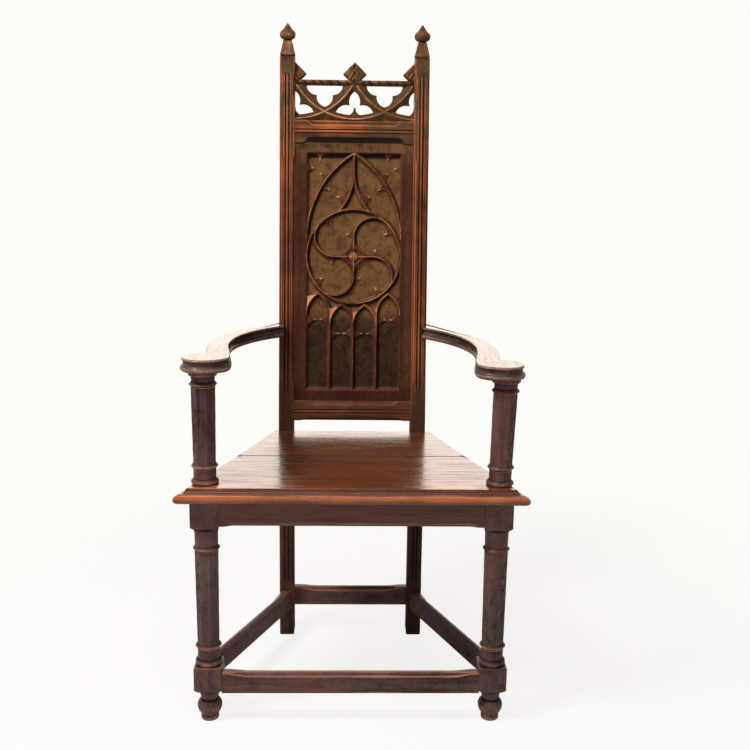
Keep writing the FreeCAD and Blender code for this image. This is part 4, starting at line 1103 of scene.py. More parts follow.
@dataclass
class Arms:
    """Arms that sweep from the rear posts to a round pad, moulded round the edge."""

    layout: Layout
    neck: float = 33.0
    swell: float = 10.0
    swell_from: float = -100.0
    shoulder: float = 8.0
    neck_back: float = 150.0
    outer_back: float = 122.0
    end_front: float = 17.0
    post_gap: float = 0.3
    pad_turns: Pair = (88.0, -178.0)
    pad_gap: float = 1.0
    pad_steps: int = 64
    ease_steps: int = 26
    inner_steps: int = 36
    outer_steps: int = 40
    shoulder_steps: int = 16
    tone: float = 0.25

    # Inset, distance below the top, wear and dirt of each level
    PROFILE = ((9.0, 0.0, 0.0, 0.0), (6.4, 0.0, 0.1, 0.0), (5.0, 0.12, 0.4, 0.0), (3.8, 0.55, 0.9, 0.0),
               (2.7, 1.5, 1.0, 0.0), (2.4, 2.8, 0.8, 0.0), (2.8, 4.1, 0.5, 0.0), (3.8, 4.9, 0.1, 0.5),
               (4.3, 5.2, 0.0, 0.8), (5.0, 7.0, 0.0, 0.5), (5.3, 9.4, 0.1, 0.35), (4.8, 12.0, 0.1, 0.35),
               (3.5, 14.1, 0.1, 0.5), (2.6, 14.8, 0.1, 0.7), (1.0, 15.6, 0.5, 0.1), (0.2, 17.2, 0.9, 0.0),
               (0.0, 19.0, 1.0, 0.0), (0.5, 21.0, 0.6, 0.0), (1.7, 22.8, 0.3, 0.2), (3.8, 23.8, 0.1, 0.3),
               (6.5, 24.0, 0.0, 0.4), (9.0, 24.0, 0.0, 0.4))

    def plan_edge(self, z: float) -> tuple[Array, Array]:
        """Outline of the right arm seen from above.

        Args:
            z: Height, which moves the face on the raked post.

        Returns:
            Points in order, and for each 1 where the edge is moulded or 0 where it meets the post.
        """
        plan = self.layout
        radius = plan.arm_pad_x - plan.leg_x
        tip_y = plan.post_front((plan.arm_under + plan.arm_top) / 2) - self.end_front
        neck = (plan.leg_x - self.neck, plan.front_y + self.neck_back)
        shoulder = (plan.leg_x + self.shoulder, plan.front_y + self.outer_back)
        angle = np.linspace(*self.pad_turns, self.pad_steps)
        wide = radius + self.swell * smooth((self.swell_from - angle) / (self.swell_from - self.pad_turns[1]))
        turn = np.radians(angle)
        pad = joined(plan.leg_x + wide * np.cos(turn), plan.front_y + wide * np.sin(turn))
        run = np.linspace(0, 1, self.ease_steps)[1:]
        swell_x = plan.leg_x - radius - self.swell
        ease = joined(swell_x + (neck[0] - swell_x) * smooth(run), plan.front_y + run * self.neck_back)
        inner = sweep(neck, (plan.arm_tip_x, tip_y), self.inner_steps)[1:]
        contact = plan.post_front(z) + self.post_gap
        post_end = (plan.post_outer, plan.arm_end_y)
        tip = np.array([(plan.arm_tip_x, contact), (plan.post_outer, contact), post_end])
        outer = sweep(shoulder, post_end, self.outer_steps)[-2::-1]
        share = np.linspace(0, 1, self.shoulder_steps)[1:]
        pad_back = plan.front_y + radius + self.pad_gap
        straight = joined(plan.leg_x + self.shoulder * (1 - share ** 2),
                          shoulder[1] + (pad_back - shoulder[1]) * share)
        edge = np.concatenate([pad, ease, inner, tip, outer, straight])
        free = np.ones(len(edge))
        start = len(pad) + len(ease) + len(inner)
        free[start - 1:start + len(tip)] = 0.0
        return edge, free

    def arm(self, side: int) -> Skin:
        """Stack the outline inset level by level.

        Args:
            side: -1 on the left, 1 on the right.

        Returns:
            The closed skin.
        """
        plan = self.layout
        reach = plan.arm_end_y - plan.front_y
        levels = []
        for inset, down, wear, dirt in self.PROFILE:
            z = plan.arm_top - down
            edge, free = self.plan_edge(z)
            along = np.roll(edge, -1, 0) - np.roll(edge, 1, 0)
            along /= np.linalg.norm(along, axis=1)[:, None]
            x, y = (edge + joined(along[:, 1], -along[:, 0]) * (inset * free)[:, None]).T
            level = z + plan.lift(side) * np.clip((plan.arm_end_y - y) / reach, 0, 1)
            levels.append((joined(side * x, y, level), joined(wear * free, dirt, self.tone)))
        return Skin.around(Grain.DEEP, levels)

    def build(self, finish: Material) -> None:
        """Build and dress both arms."""
        for name, side in SIDES.items():
            self.arm(side).build(f"{name}_arm_oak", finish, "seat_oak", [f"{name}_arm"])


@dataclass
class Seat:
    """Front and rear seat boards with a moulded edge that mitres round the corners."""

    layout: Layout
    nose: float = 9.5
    nose_steps: int = 11
    nose_wear: float = 0.3
    nose_rub: Pair = (0.75, 0.5)
    # Painted highlight along the nose: its strength, its angle and its half width
    nose_highlight: Triple = (0.4, 0.45, 0.3)
    mould: float = 15.5
    mould_keep: float = 0.6
    under_inset: float = 30.0
    under_dirt: float = 0.3
    seam_gap: float = 0.8
    seam_row: float = 25.0
    seam_lip: float = 2.0
    seam_ease: float = 0.5
    seam_dirt: float = 0.9
    rear_share: float = 0.5
    rear_inset: float = 11.0
    post_clear: float = 0.5
    rub_deep: float = 35.0
    rub_fade: float = 60.0
    fit: float = 0.2
    tone: float = 0.3
    across_steps: int = 25
    side_steps: int = 13

    # Inset, height over the underside or against the top, wear and dirt of the hollow and of the upper edge
    HOLLOW = ((10.2, 19.0, 0.1, 0.7), (11.2, 19.4, 0.0, 0.8), (12.6, 20.8, 0.3, 0.2), (13.8, 22.6, 0.4, 0.1),
              (14.6, 24.2, 0.7, 0.0))
    UPPER = ((15.2, -1.8, 0.4, 0.7), (15.6, -0.9, 0.8, 0.0), (16.4, -0.1, 1.0, 0.0), (19.0, 0.0, 0.9, 0.0),
             (30.0, 0.0, 0.85, 0.0), (48.0, 0.0, 0.7, 0.0), (90.0, 0.0, 0.0, 0.0))

    def profile(self) -> list[tuple[float, ...]]:
        """Levels of the moulded edge.

        Returns:
            Inset, height, wear and dirt of each level from the underside to the top.
        """
        low, top = self.layout.seat_under, self.layout.seat_top
        levels = [(inset, low, 0.0, self.under_dirt) for inset in (self.under_inset, self.nose + 2)]
        rub, rub_turn = self.nose_rub
        gleam, gleam_turn, gleam_half = self.nose_highlight
        for turn in np.radians(np.linspace(-90, 90, self.nose_steps)):
            wear = self.nose_wear + rub * math.cos(turn - rub_turn)
            # Painted highlight line along the nose, added to its wear
            wear += gleam * hill((turn - gleam_turn) / gleam_half)
            height = low + self.nose * (1 + math.sin(turn))
            levels.append((self.nose * (1 - math.cos(turn)), height, max(wear, 0), 0.0))
        for table, base in ((self.HOLLOW, low), (self.UPPER, top)):
            levels += [(inset, base + height, wear, dirt) for inset, height, wear, dirt in table]
        return levels

    def side_x(self, y: Array | float, inset: float) -> Array | float:
        """Half width of the seat at a place, inset square to its side."""
        plan = self.layout
        edge = plan.seat_front_half - plan.taper * (y - plan.seat_front_y)
        return edge - inset * math.hypot(1.0, plan.taper)

    def front_ring(self, inset: float, ease: float) -> Array:
        """Outline of the front board at one level.

        Args:
            inset: Distance inside the seat's edge.
            ease: Distance from the seam's side.

        Returns:
            Points in order round the board.
        """
        plan = self.layout
        front = plan.seat_front_y + inset
        seam = plan.seam_y - self.seam_gap - ease
        front_x, seam_x = self.side_x(front, inset), self.side_x(seam, inset)
        back = np.linspace(front, seam, self.side_steps)
        return np.concatenate([
            joined(np.linspace(-front_x, front_x, self.across_steps), front),
            joined(self.side_x(back, inset), back)[1:],
            joined(np.linspace(seam_x, -seam_x, self.across_steps), seam)[1:],
            joined(-self.side_x(back, inset), back)[-2:0:-1]])

    def rear_ring(self, inset: float, ease: float) -> Array:
        """Outline of the rear board at one level, notched for the posts.

        Args:
            inset: Distance inside the seat's edge.
            ease: Distance from the seam's side.

        Returns:
            Points in order round the board.
        """
        plan = self.layout
        seam = plan.seam_y + self.seam_gap + ease
        rear = plan.seat_rear_y - min(inset, self.mould) * self.rear_share
        near = plan.back_y - self.fit
        inner, outer = plan.post_inner - self.fit, plan.post_outer + self.fit
        corner = max(self.side_x(rear, min(inset, self.rear_inset)), outer + self.post_clear)
        seam_x = self.side_x(seam, inset)
        share = np.linspace(0, 1, self.side_steps)[1:]
        edge = joined(seam_x + (corner - seam_x) * share, seam + (rear - seam) * share)
        right = np.concatenate([edge, [(outer, rear), (outer, near), (inner, near), (inner, rear)]])
        front = joined(np.linspace(-seam_x, seam_x, self.across_steps), seam)
        return np.concatenate([front, right, right[::-1] * (-1, 1)])

    def board(self, ring_at: Callable[[float, float], Array]) -> Skin:
        """Stack a board's outlines level by level.

        Args:
            ring_at: Gives the outline at an inset and a distance from the seam.

        Returns:
            The closed skin.
        """
        plan = self.layout
        levels = []
        for inset, z, wear, dirt in self.profile():
            ease = self.seam_ease if z > plan.seat_top - self.seam_ease else 0.0
            x, y = ring_at(inset, self.seam_lip if inset > self.seam_row else ease).T
            seam = np.abs(y - plan.seam_y) < self.seam_lip
            back = smooth((y - plan.seat_front_y - self.rub_deep) / self.rub_fade)
            keep = 0.0 if inset > self.mould else self.mould_keep
            worn_and_lit = np.where(seam, 0.0, wear * (1 - (1 - keep) * back))
            levels.append((joined(x, y, z), joined(worn_and_lit, np.where(seam, self.seam_dirt, dirt), self.tone)))
        return Skin.around(Grain.ACROSS, levels)

    def build(self, finish: Material) -> None:
        """Build and dress both boards."""
        self.board(self.front_ring).build("seat_front_oak", finish, "seat_oak", ["seat_front_board"])
        self.board(self.rear_ring).build("seat_rear_oak", finish, "seat_oak", ["seat_rear_board"])


def segment_distance(x: Array, z: Array, start: Pair, end: Pair) -> Array:
    """Distance of each place from a straight line.

    Args:
        x: Places across.
        z: Places up.
        start: First point of the line.
        end: Last point of the line.

    Returns:
        One distance for each place.
    """
    run = np.array(end, float) - np.array(start, float)
    share = np.clip(((x - start[0]) * run[0] + (z - start[1]) * run[1]) / (run @ run), 0, 1)
    return np.hypot(x - start[0] - share * run[0], z - start[1] - share * run[1])


def arc_distance(x: Array, z: Array, centre: Pair, radius: float, low: float, high: float) -> Array:
    """Distance of each place from an arc.

    Args:
        x: Places across.
        z: Places up.
        centre: Middle of the arc.
        radius: Its radius.
        low: Its first angle in degrees.
        high: Its last angle, greater than the first.

    Returns:
        One distance for each place.
    """
    dx, dz = x - centre[0], z - centre[1]
    turn = (np.degrees(np.arctan2(dz, dx)) - low) % 360
    ends = [np.hypot(dx - radius * math.cos(angle), dz - radius * math.sin(angle))
            for angle in np.radians([low, high])]
    return np.where(turn <= high - low, np.abs(np.hypot(dx, dz) - radius), np.minimum(*ends))


def disc(x: Array, z: Array, across: float, up: float, radius: float) -> Array:
    """Signed distance to a disc, below 0 inside it."""
    return np.hypot(x - across, z - up) - radius


def ripple(x: Array, z: Array, pitch: float, bend: float, slow: float) -> Array:
    """Waves along one way that bend slowly along the other."""
    return np.sin(pitch * x + bend * np.sin(slow * z))


def turned(x: Array, z: Array, quarter: int) -> tuple[Array, Array]:
    """Places turned by quarter turns about the middle."""
    cosine, sine = ((1, 0), (0, 1), (-1, 0), (0, -1))[quarter % 4]
    return x * cosine - z * sine, x * sine + z * cosine


@dataclass(frozen=True)
class Cusp:
    """Cusp of the tracery: its foot, its heading in degrees, its length and half its base."""

    x: float
    z: float
    heading: float
    length: float
    base: float


@dataclass
class TraceryPanel:
    """Carved panel: a sunk field with ridged tracery, cusps in its lights and a flower at the wheel's hub."""

    layout: Layout
    front_set: float = 5.0
    thick: float = 14.0
    relief: float = 7.6
    fit: float = 0.2
    grid: float = 1.15
    crease: float = 60.0
    lower_rail_top: float = 55.0
    upper_rail_drop: float = 171.5
    field_side: float = 25.0
    field_sill: float = 28.0
    field_head: float = 20.5
    rib_half: float = 6.2
    rib_crest: float = 0.4
    rib_hollow: float = 1.45
    wheel_drop: float = 211.0
    arch_high: float = 175.0
    mullion_long: float = 36.0
    mullion_foot: float = 32.0
    lancet_drops: Pair = (288.0, 311.0)
    lancet_rise: float = 43.0
    lancet_sink: float = 3.0
    rim_cusp_turn: float = 125.0
    rim_cusp: Pair = (19.0, 19.0)
    lobe_cusp_foot: Pair = (1.0, 45.0)
    lobe_cusp: Pair = (16.0, 18.0)
    head_cusp_drop: float = 31.0
    head_cusp: Pair = (14.0, 12.0)
    cusp_drops: Pair = (342.0, 371.0)
    lancet_cusp: Pair = (21.5, 17.0)
    cusp_high: float = 4.6
    cusp_least: float = 1.0
    cusp_root: float = 2.0
    cusp_end: float = 1.0
    cusp_curl: float = 2.3
    cusp_tip: float = 2.0
    cusp_fall: float = 0.2
    cusp_wall: float = 1.7
    tip_from: float = 0.5
    tip_run: float = 0.3
    tip_over: float = 0.4
    tip_edge: float = 1.2
    eye_long: float = 1.4
    eye_wide: float = 3.4
    eye_deep: float = 2.0
    wedge_highs: Triple = (42.0, 40.0, 32.0)
    wedge_rise: float = 3.0
    wedge_gap: float = 0.3
    wedge_fall: float = 0.06
    wedge_low: float = 0.88
    wedge_hollow: float = 1.2
    wedge_shade: float = 0.4
    wedge_turn: Pair = (2.0, 3.0)
    web_curl: float = 1.25
    web_least: float = 3.0
    web_sunk: float = 2.2
    petal: Pair = (7.5, 6.5)
    petal_high: float = 2.6
    petal_worn: float = 1.6
    vein_half: float = 2.2
    vein_deep: float = 0.9
    vein_dirt: float = 0.8
    vein_starts: Pair = (3.0, 2.0)
    hub_clear: Pair = (9.0, 4.0)
    hub_sunk: Pair = (16.0, 3.0)
    edge_run: float = 2.6
    head_run: float = 1.8
    sill_run: float = 9.0
    sill_over: float = 2.0
    tool_mark: float = 0.3
    tool_reach: float = 2.0
    across_marks: Triple = (0.9, 1.7, 0.31)
    upward_marks: Triple = (0.72, 1.5, 0.27)
    ridge_half: float = 1.5
    ridge_wear: float = 1.2
    lip_half: float = 1.4
    lip_out: float = 0.6
    lip_below: float = 7.0
    lip_ends: Pair = (6.0, 2.0)
    lip_wears: Pair = (0.4, 0.6)
    tip_wear: float = 1.25
    # An even lightening of the ground and painted highlights on the chisel crests
    speck_highlights: Pair = (0.2, 0.36)
    speck_top: float = 1.0
    # Strength of the painted highlight on the lit wedge faces, and the cap on the wear mark
    bright: float = 1.5
    # Painted shade in the hollows beside the ribs, darker on the side away from the key light, and painted
    # shadow crescents on that side:
    shade_step: float = 2.5
    shade_run: float = 3.0
    hollow_at: float = 0.85
    hollow_half: float = 2.6
    hollow_top: float = 4.2
    hollow_darkening: float = 0.6
    ledge: float = 0.5
    ground_top: float = 3.0
    ground_fade: float = 2.0
    crescent: float = 9.0
    crescent_from: float = 0.2
    crescent_run: float = 0.6
    crescent_fade: float = 4.0
    crescent_clear: float = 1.2
    crescent_top: float = 6.6
    crescent_shadow: float = 0.9
    # Painted shade in each cusp's eye
    eye_shade: float = 0.9
    # Painted shadow under the field's top edge and inside its left edge, and a darkening towards the bottom
    # of the field: start, fade and strength
    head_shadow: Triple = (14.0, 6.0, 0.85)
    side_shadow: Triple = (7.0, 4.0, 0.6)
    low_darkening: Triple = (300.0, 60.0, 0.72)
    low_ground: float = 0.6
    sill_dark: float = 0.6
    border_dirt: float = 0.5
    border_fade: float = 30.0
    border_tones: Triple = (0.42, 0.25, 0.95)
    field_tones: Pair = (0.05, 0.93)
    tone_from: float = 2.0
    tone_run: float = 4.6
    tone_pitch: float = 2.0
    tone_seed: float = 3.0
    head_clean: float = 0.8
    frame_sets: Pair = (1.0, 8.0)
    rear_age: Triple = (0.0, 0.2, 0.3)

    # Cusps of the arch and its spandrels: across, drop, lean from upright, length and half base
    ARCH_CUSPS = ((68.0, 65.0, 118.0, 21.0, 19.0), (18.0, 94.0, -72.0, 18.0, 19.0),
                  (70.0, 0.0, 180.0, 14.0, 12.0), (58.0, 50.0, -55.0, 15.0, 12.0))

    @property
    def half(self) -> float:
        """Half width of the field."""
        return self.layout.post_inner - self.field_side

    @property
    def head(self) -> float:
        """Top of the field up the rake."""
        return self.layout.slant - self.upper_rail_drop - self.field_head

    @property
    def sill(self) -> float:
        """Bottom of the field up the rake."""
        return self.lower_rail_top + self.field_sill

    @property
    def hub(self) -> float:
        """Middle of the wheel up the rake."""
        return self.head - self.wheel_drop

    @property
    def lobe(self) -> float:
        """Radius of the wheel's four round lights."""
        return self.half / (1 + math.sqrt(2))

    @property
    def lancet_bend(self) -> float:
        """Radius of the lancets' heads."""
        light = self.half / 2
        return ((light / 2) ** 2 + self.lancet_rise ** 2) / light

    def ribs(self, x: Array, z: Array) -> Array:
        """Distance of each place from the nearest rib of the tracery.

        Args:
            x: Places across.
            z: Places up the rake.

        Returns:
            One distance for each place.
        """
        half, head, lobe = self.half, self.head, self.lobe
        lines = [np.abs(disc(x, z, 0.0, self.hub, half))]
        for quarter in range(4):
            place = turned(x, z - self.hub, quarter)
            lines.append(segment_distance(*place, (0, 0), (0, lobe)))
            lines.append(arc_distance(*place, (lobe, lobe), lobe, 45, 180))
        bend = (half ** 2 + self.arch_high ** 2) / (2 * half)
        rise = math.degrees(math.asin(self.arch_high / bend))
        split = head - self.mullion_long
        fall = split - self.hub - math.sqrt(half ** 2 - self.mullion_foot ** 2)
        flare = (self.mullion_foot ** 2 + fall ** 2) / (2 * self.mullion_foot)
        flare_turn = math.degrees(math.asin(fall / flare))
        lines.append(segment_distance(x, z, (0, split), (0, head)))
        light = half / 2
        head_turn = math.degrees(math.asin(self.lancet_rise / self.lancet_bend))
        springs = [head - drop - self.lancet_rise for drop in self.lancet_drops + self.lancet_drops[::-1]]
        for px in (x, -x):
            lines.append(arc_distance(px, z, (half - bend, head - self.arch_high), bend, 0, rise))
            lines.append(arc_distance(px, z, (flare, split), flare, 180, 180 + flare_turn))
            for place, spring in enumerate(springs):
                centre = (half - place * light - self.lancet_bend, spring)
                lines.append(arc_distance(px, z, centre, self.lancet_bend, 0, head_turn))
        for place in range(1, len(springs)):
            left = place * light - half
            foot = (left, self.sill - self.lancet_sink)
            lines.append(segment_distance(x, z, foot, (left, max(springs[place - 1:place + 1]))))
        return np.minimum.reduce(lines)

    def cusps(self) -> list[Cusp]:
        """Cusps of the wheel, the arch, the spandrels and the lancets.

        Returns:
            All cusps of the panel.
        """
        half, head, hub = self.half, self.head, self.hub
        cusps = []
        for quarter in range(4):
            turn = self.rim_cusp_turn - 90 * quarter
            angle = math.radians(turn)
            foot_x, foot_z = half * math.cos(angle), half * math.sin(angle)
            cusps.append(Cusp(foot_x, hub + foot_z, turn + 180, *self.rim_cusp))
            foot_x, foot_z = turned(*self.lobe_cusp_foot, -quarter)
            cusps.append(Cusp(foot_x, hub + foot_z, 180.0 - 90 * quarter, *self.lobe_cusp))
        for side in SIDES.values():
            for across, drop, lean, *sizes in self.ARCH_CUSPS:
                cusps.append(Cusp(side * across, head - drop, 90 + side * lean, *sizes))
            cusps.append(Cusp(side * half, head - self.head_cusp_drop, 90 + side * 90, *self.head_cusp))
            for step, drop in enumerate(self.cusp_drops[::-1]):
                for edge, heading in ((step, 90 - side * 90), (step + 1, 90 + side * 90)):
                    cusps.append(Cusp(side * edge * half / 2, head - drop, heading, *self.lancet_cusp))
        return cusps

    def cusp_level(self, x: Array, z: Array) -> Arrays:
        """Carving of the cusps.

        Args:
            x: Places across.
            z: Places up the rake.

        Returns:
            Height of the cusps over the ground, the eye cut in each, which is painted dark as shade, and
            their rubbed tips.
        """
        level = eyes = tips = np.zeros_like(x)
        for cusp in self.cusps():
            cosine, sine = math.cos(math.radians(cusp.heading)), math.sin(math.radians(cusp.heading))
            along = (x - cusp.x) * cosine + (z - cusp.z) * sine
            aside = np.abs((z - cusp.z) * cosine - (x - cusp.x) * sine)
            share = np.clip(along / cusp.length, 0, 1)
            reach = cusp.base * (1 - share) ** self.cusp_curl + self.cusp_tip
            within = np.minimum(reach - aside, cusp.length + self.cusp_end - along)
            inside = np.where(along > -self.cusp_root, within, -np.inf)
            face = self.cusp_high * smooth(inside / self.cusp_wall) * (1 - self.cusp_fall * share)
            level = np.maximum(level, face)
            eye = ((along - cusp.length / 2) ** 2 + (self.eye_long * aside) ** 2) / self.eye_wide
            eyes = np.maximum(eyes, np.exp(-eye))
            tip = smooth((share - self.tip_from) / self.tip_run)
            tips = np.maximum(tips, smooth((inside + self.tip_over) / self.tip_edge) * tip)
        return level, eyes, tips

    def wedges(self, x: Array, z: Array) -> tuple[Array, Array]:
        """Hollow faces between neighbouring lancet heads.

        Args:
            x: Places across.
            z: Places up the rake.

        Returns:
            Their height over the ground, and how much of the light each place catches.
        """
        light, bend = self.half / 2, self.lancet_bend
        outer, inner = (self.head - drop - self.lancet_rise for drop in self.lancet_drops)
        level = lit = np.zeros_like(x)
        for away, spring, high in zip((self.half, light, 0.0), (outer, inner, inner), self.wedge_highs):
            up = np.clip(z - spring, 0.0, high)
            reach = bend - np.sqrt(bend ** 2 - up ** 2) + self.wedge_gap
            past = away - np.abs(x)
            gap = np.abs(x) if away == 0 else np.where(past > -self.wedge_gap, past, np.inf)
            top = high * (self.wedge_low + (1 - self.wedge_low) * np.clip(2 * gap / light, 0, 1))
            inside = (z > spring + self.wedge_rise) * (z < spring + top) * (gap < reach)
            hollow = self.wedge_hollow * np.clip(1 - gap / reach, 0, 1)
            level = np.maximum(level, inside * (self.relief - hollow - self.wedge_fall * up))
            facing = smooth((x - np.sign(x) * away + self.wedge_turn[0]) / self.wedge_turn[1])
            lit = np.maximum(lit, inside * (self.wedge_shade + (1 - self.wedge_shade) * facing))
        return level, lit

    def flower(self, x: Array, z: Array) -> Arrays:
        """Web between the wheel's lights, and the flower with four petals on its hub.

        Args:
            x: Places across.
            z: Places up the rake.

        Returns:
            Height of the web, height of the flower on it, and the dark veins of its petals.
        """
        up = z - self.hub
        away, turn = np.hypot(x, up), np.arctan2(up, x)
        past = disc(np.abs(x), np.abs(up), self.lobe, self.lobe, self.lobe) + self.rib_half
        near = np.abs(x) + np.abs(up) < self.lobe
        web = self.relief * np.clip(past / self.rib_half, 0, 1) ** self.web_curl * near
        petal = self.petal[0] + self.petal[1] * np.abs(np.sin(2 * turn))
        vein = hill(away * np.abs(np.cos(2 * turn)) / self.vein_half) * (away < petal)
        flower = self.petal_high * np.clip(1 - (away / petal) ** 2, 0, 1)
        flower = flower - self.vein_deep * vein * (away > self.vein_starts[0])
        on_web = web > self.web_least
        web = web - self.web_sunk * smooth((self.hub_sunk[0] - away) / self.hub_sunk[1])
        return web, flower * on_web, vein * (away > self.vein_starts[1]) * on_web

    def heights(self, x: Array, z: Array) -> Arrays:
        """Carved surface behind the panel's front plane.

        Args:
            x: Places across.
            z: Places up the rake.

        Returns:
            Depth of the surface, wear with painted highlights, and dirt with painted shade and shadow, at
            each place.
        """
        half, head, sill = self.half, self.head, self.sill
        distance = self.ribs(x, z)
        crest = np.clip((distance - self.rib_crest) / (self.rib_half - self.rib_crest), 0, 1)
        rib = self.relief * (1 - crest) ** self.rib_hollow
        cusp, eyes, tips = self.cusp_level(x, z)
        web, flower, vein = self.flower(x, z)
        wedge, catch = self.wedges(x, z)
        clear = smooth((np.hypot(x, z - self.hub) - self.hub_clear[0]) / self.hub_clear[1])
        carved = most(rib * clear, cusp, web) + flower - self.eye_deep * eyes * (cusp > self.cusp_least)
        border = self.relief * most(smooth((np.abs(x) - half + self.edge_run) / self.edge_run),
                                    smooth((z - head + self.head_run) / self.head_run),
                                    np.clip((sill + self.sill_over - z) / self.sill_run, 0, 1))
        chisel = ripple(x, z, *self.across_marks) * ripple(z, x, *self.upward_marks)
        surface = most(carved, wedge, border)
        surface = surface + self.tool_mark * chisel * smooth((self.tool_reach - surface) / self.tool_reach)
        ridge = hill(distance / self.ridge_half) * (rib >= border - self.ledge)
        side_lip = hill((np.abs(x) - half - self.lip_out) / self.lip_half)
        side_lip = side_lip * (z > sill - self.lip_ends[0]) * (z < head + self.lip_ends[1])
        low_lip = hill((z - sill + self.lip_below) / self.lip_half) * (np.abs(x) < half)
        # An even lightening of the ground, with painted highlights on the crests of the chisel marks
        specks = self.speck_highlights[0] + self.speck_highlights[1] * np.clip(chisel, 0, 1)
        specks = specks * (surface < self.speck_top)
        # Besides the wear, the wear mark holds painted highlights on the lit wedge faces and on the chisel
        # crests
        wear = most(self.ridge_wear * ridge, self.lip_wears[0] * side_lip, self.lip_wears[1] * low_lip,
                    self.tip_wear * tips * (surface < cusp + self.tip_over), smooth(flower / self.petal_worn),
                    self.bright * catch * (border < wedge), specks)
        # Painted shade beside the ribs and painted shadow crescents on the side of each rib that faces away
        # from the key light
        lee = distance - self.ribs(x - self.shade_step, z + self.shade_step)
        shaded = np.clip(lee / self.shade_run, -1, 1)
        hollow = hill((distance - self.hollow_at * self.rib_half) / self.hollow_half)
        hollow = hollow * (surface < self.hollow_top) * (self.hollow_darkening + (1 - self.hollow_darkening) * shaded)
        crescent = smooth((shaded - self.crescent_from) / self.crescent_run)
        crescent = crescent * smooth((self.crescent - distance) / self.crescent_fade)
        crescent = crescent * smooth((distance - self.crescent_clear) / self.crescent_clear)
        crescent = crescent * (surface < self.crescent_top) * (border < self.ledge) * (catch <= 0)
        ground = smooth((self.ground_top - surface) / self.ground_fade)
        # Painted shadow under the field's top edge and inside its left edge, then a darkening towards the
        # bottom of the field
        darkenings = []
        for place, (start, fade, darkening) in ((z - head, self.head_shadow), (-x - half, self.side_shadow)):
            darkenings.append(darkening * smooth((place + start) / fade) * ground)
        start, fade, darkening = self.low_darkening
        shown = 1 - self.low_ground + self.low_ground * ground
        darkenings.append(darkening * smooth((head - start - z) / fade) * shown)
        # Dirt here holds the veins' dirt, painted shade beside the ribs and in the cusps' eyes, painted
        # shadow crescents and edge shadows, and the darkening towards the bottom
        dirt = most(hollow, self.crescent_shadow * crescent, self.vein_dirt * vein,
                    self.eye_shade * eyes, *darkenings)
        return self.relief - surface, np.clip(wear, 0, self.bright), np.clip(dirt, 0, 1)

    def build(self, finish: Material) -> None:
        """Build and dress the panel as one closed skin."""
        plan = self.layout
        reach = plan.post_inner - self.fit
        low = self.lower_rail_top + self.fit
        high = plan.slant - self.upper_rail_drop - self.fit
        columns, lines = int(2 * reach / self.grid), int((high - low) / self.grid)
        x, z = np.meshgrid(np.linspace(-reach, reach, columns), np.linspace(low, high, lines))
        deep, wear, dirt = self.heights(x, z)
        rim_set, sill_set = self.frame_sets
        framed = (np.abs(x) > self.half + rim_set) | (z > self.head + rim_set) | (z < self.sill - sill_set)
        plain, uneven, upper = self.border_tones
        edged = np.where(z > self.head, upper, plain + uneven * wander(self.tone_pitch * x, self.tone_seed))
        ground = smooth((deep - self.tone_from) / self.tone_run)
        sunk = self.field_tones[0] + self.field_tones[1] * ground
        clean = self.head_clean * smooth((z - self.head + self.border_fade) / self.border_fade)
        dull = self.border_dirt * (1 - clean)
        # The strip below the field is darker
        dull = np.where(z < self.sill, self.sill_dark, dull)
        marks = joined(wear, np.where(framed, np.maximum(dirt, dull), dirt), np.where(framed, edged, sunk))
        skin = Skin(Grain.UPRIGHT)
        skin.add(plan.raked(x, z, self.front_set + deep), marks)
        index = np.arange(x.size).reshape(x.shape)
        skin.fill(index[:-1, :-1], index[:-1, 1:], index[1:, 1:], index[1:, :-1])
        rim = np.concatenate([index[0, :], index[1:, -1], index[-1, -2::-1], index[-2:0:-1, 0]])
        rear = plan.raked(x.ravel()[rim], z.ravel()[rim], self.front_set + self.thick)
        back = skin.add(rear, np.tile(self.rear_age, (len(rim), 1))) + np.arange(len(rim))
        skin.fill(rim, back, np.roll(back, -1), np.roll(rim, -1))
        skin.faces.append(back[::-1].tolist())
        skin.build("back_panel_oak", finish, "carved_oak", ["back_panel"], self.crease)


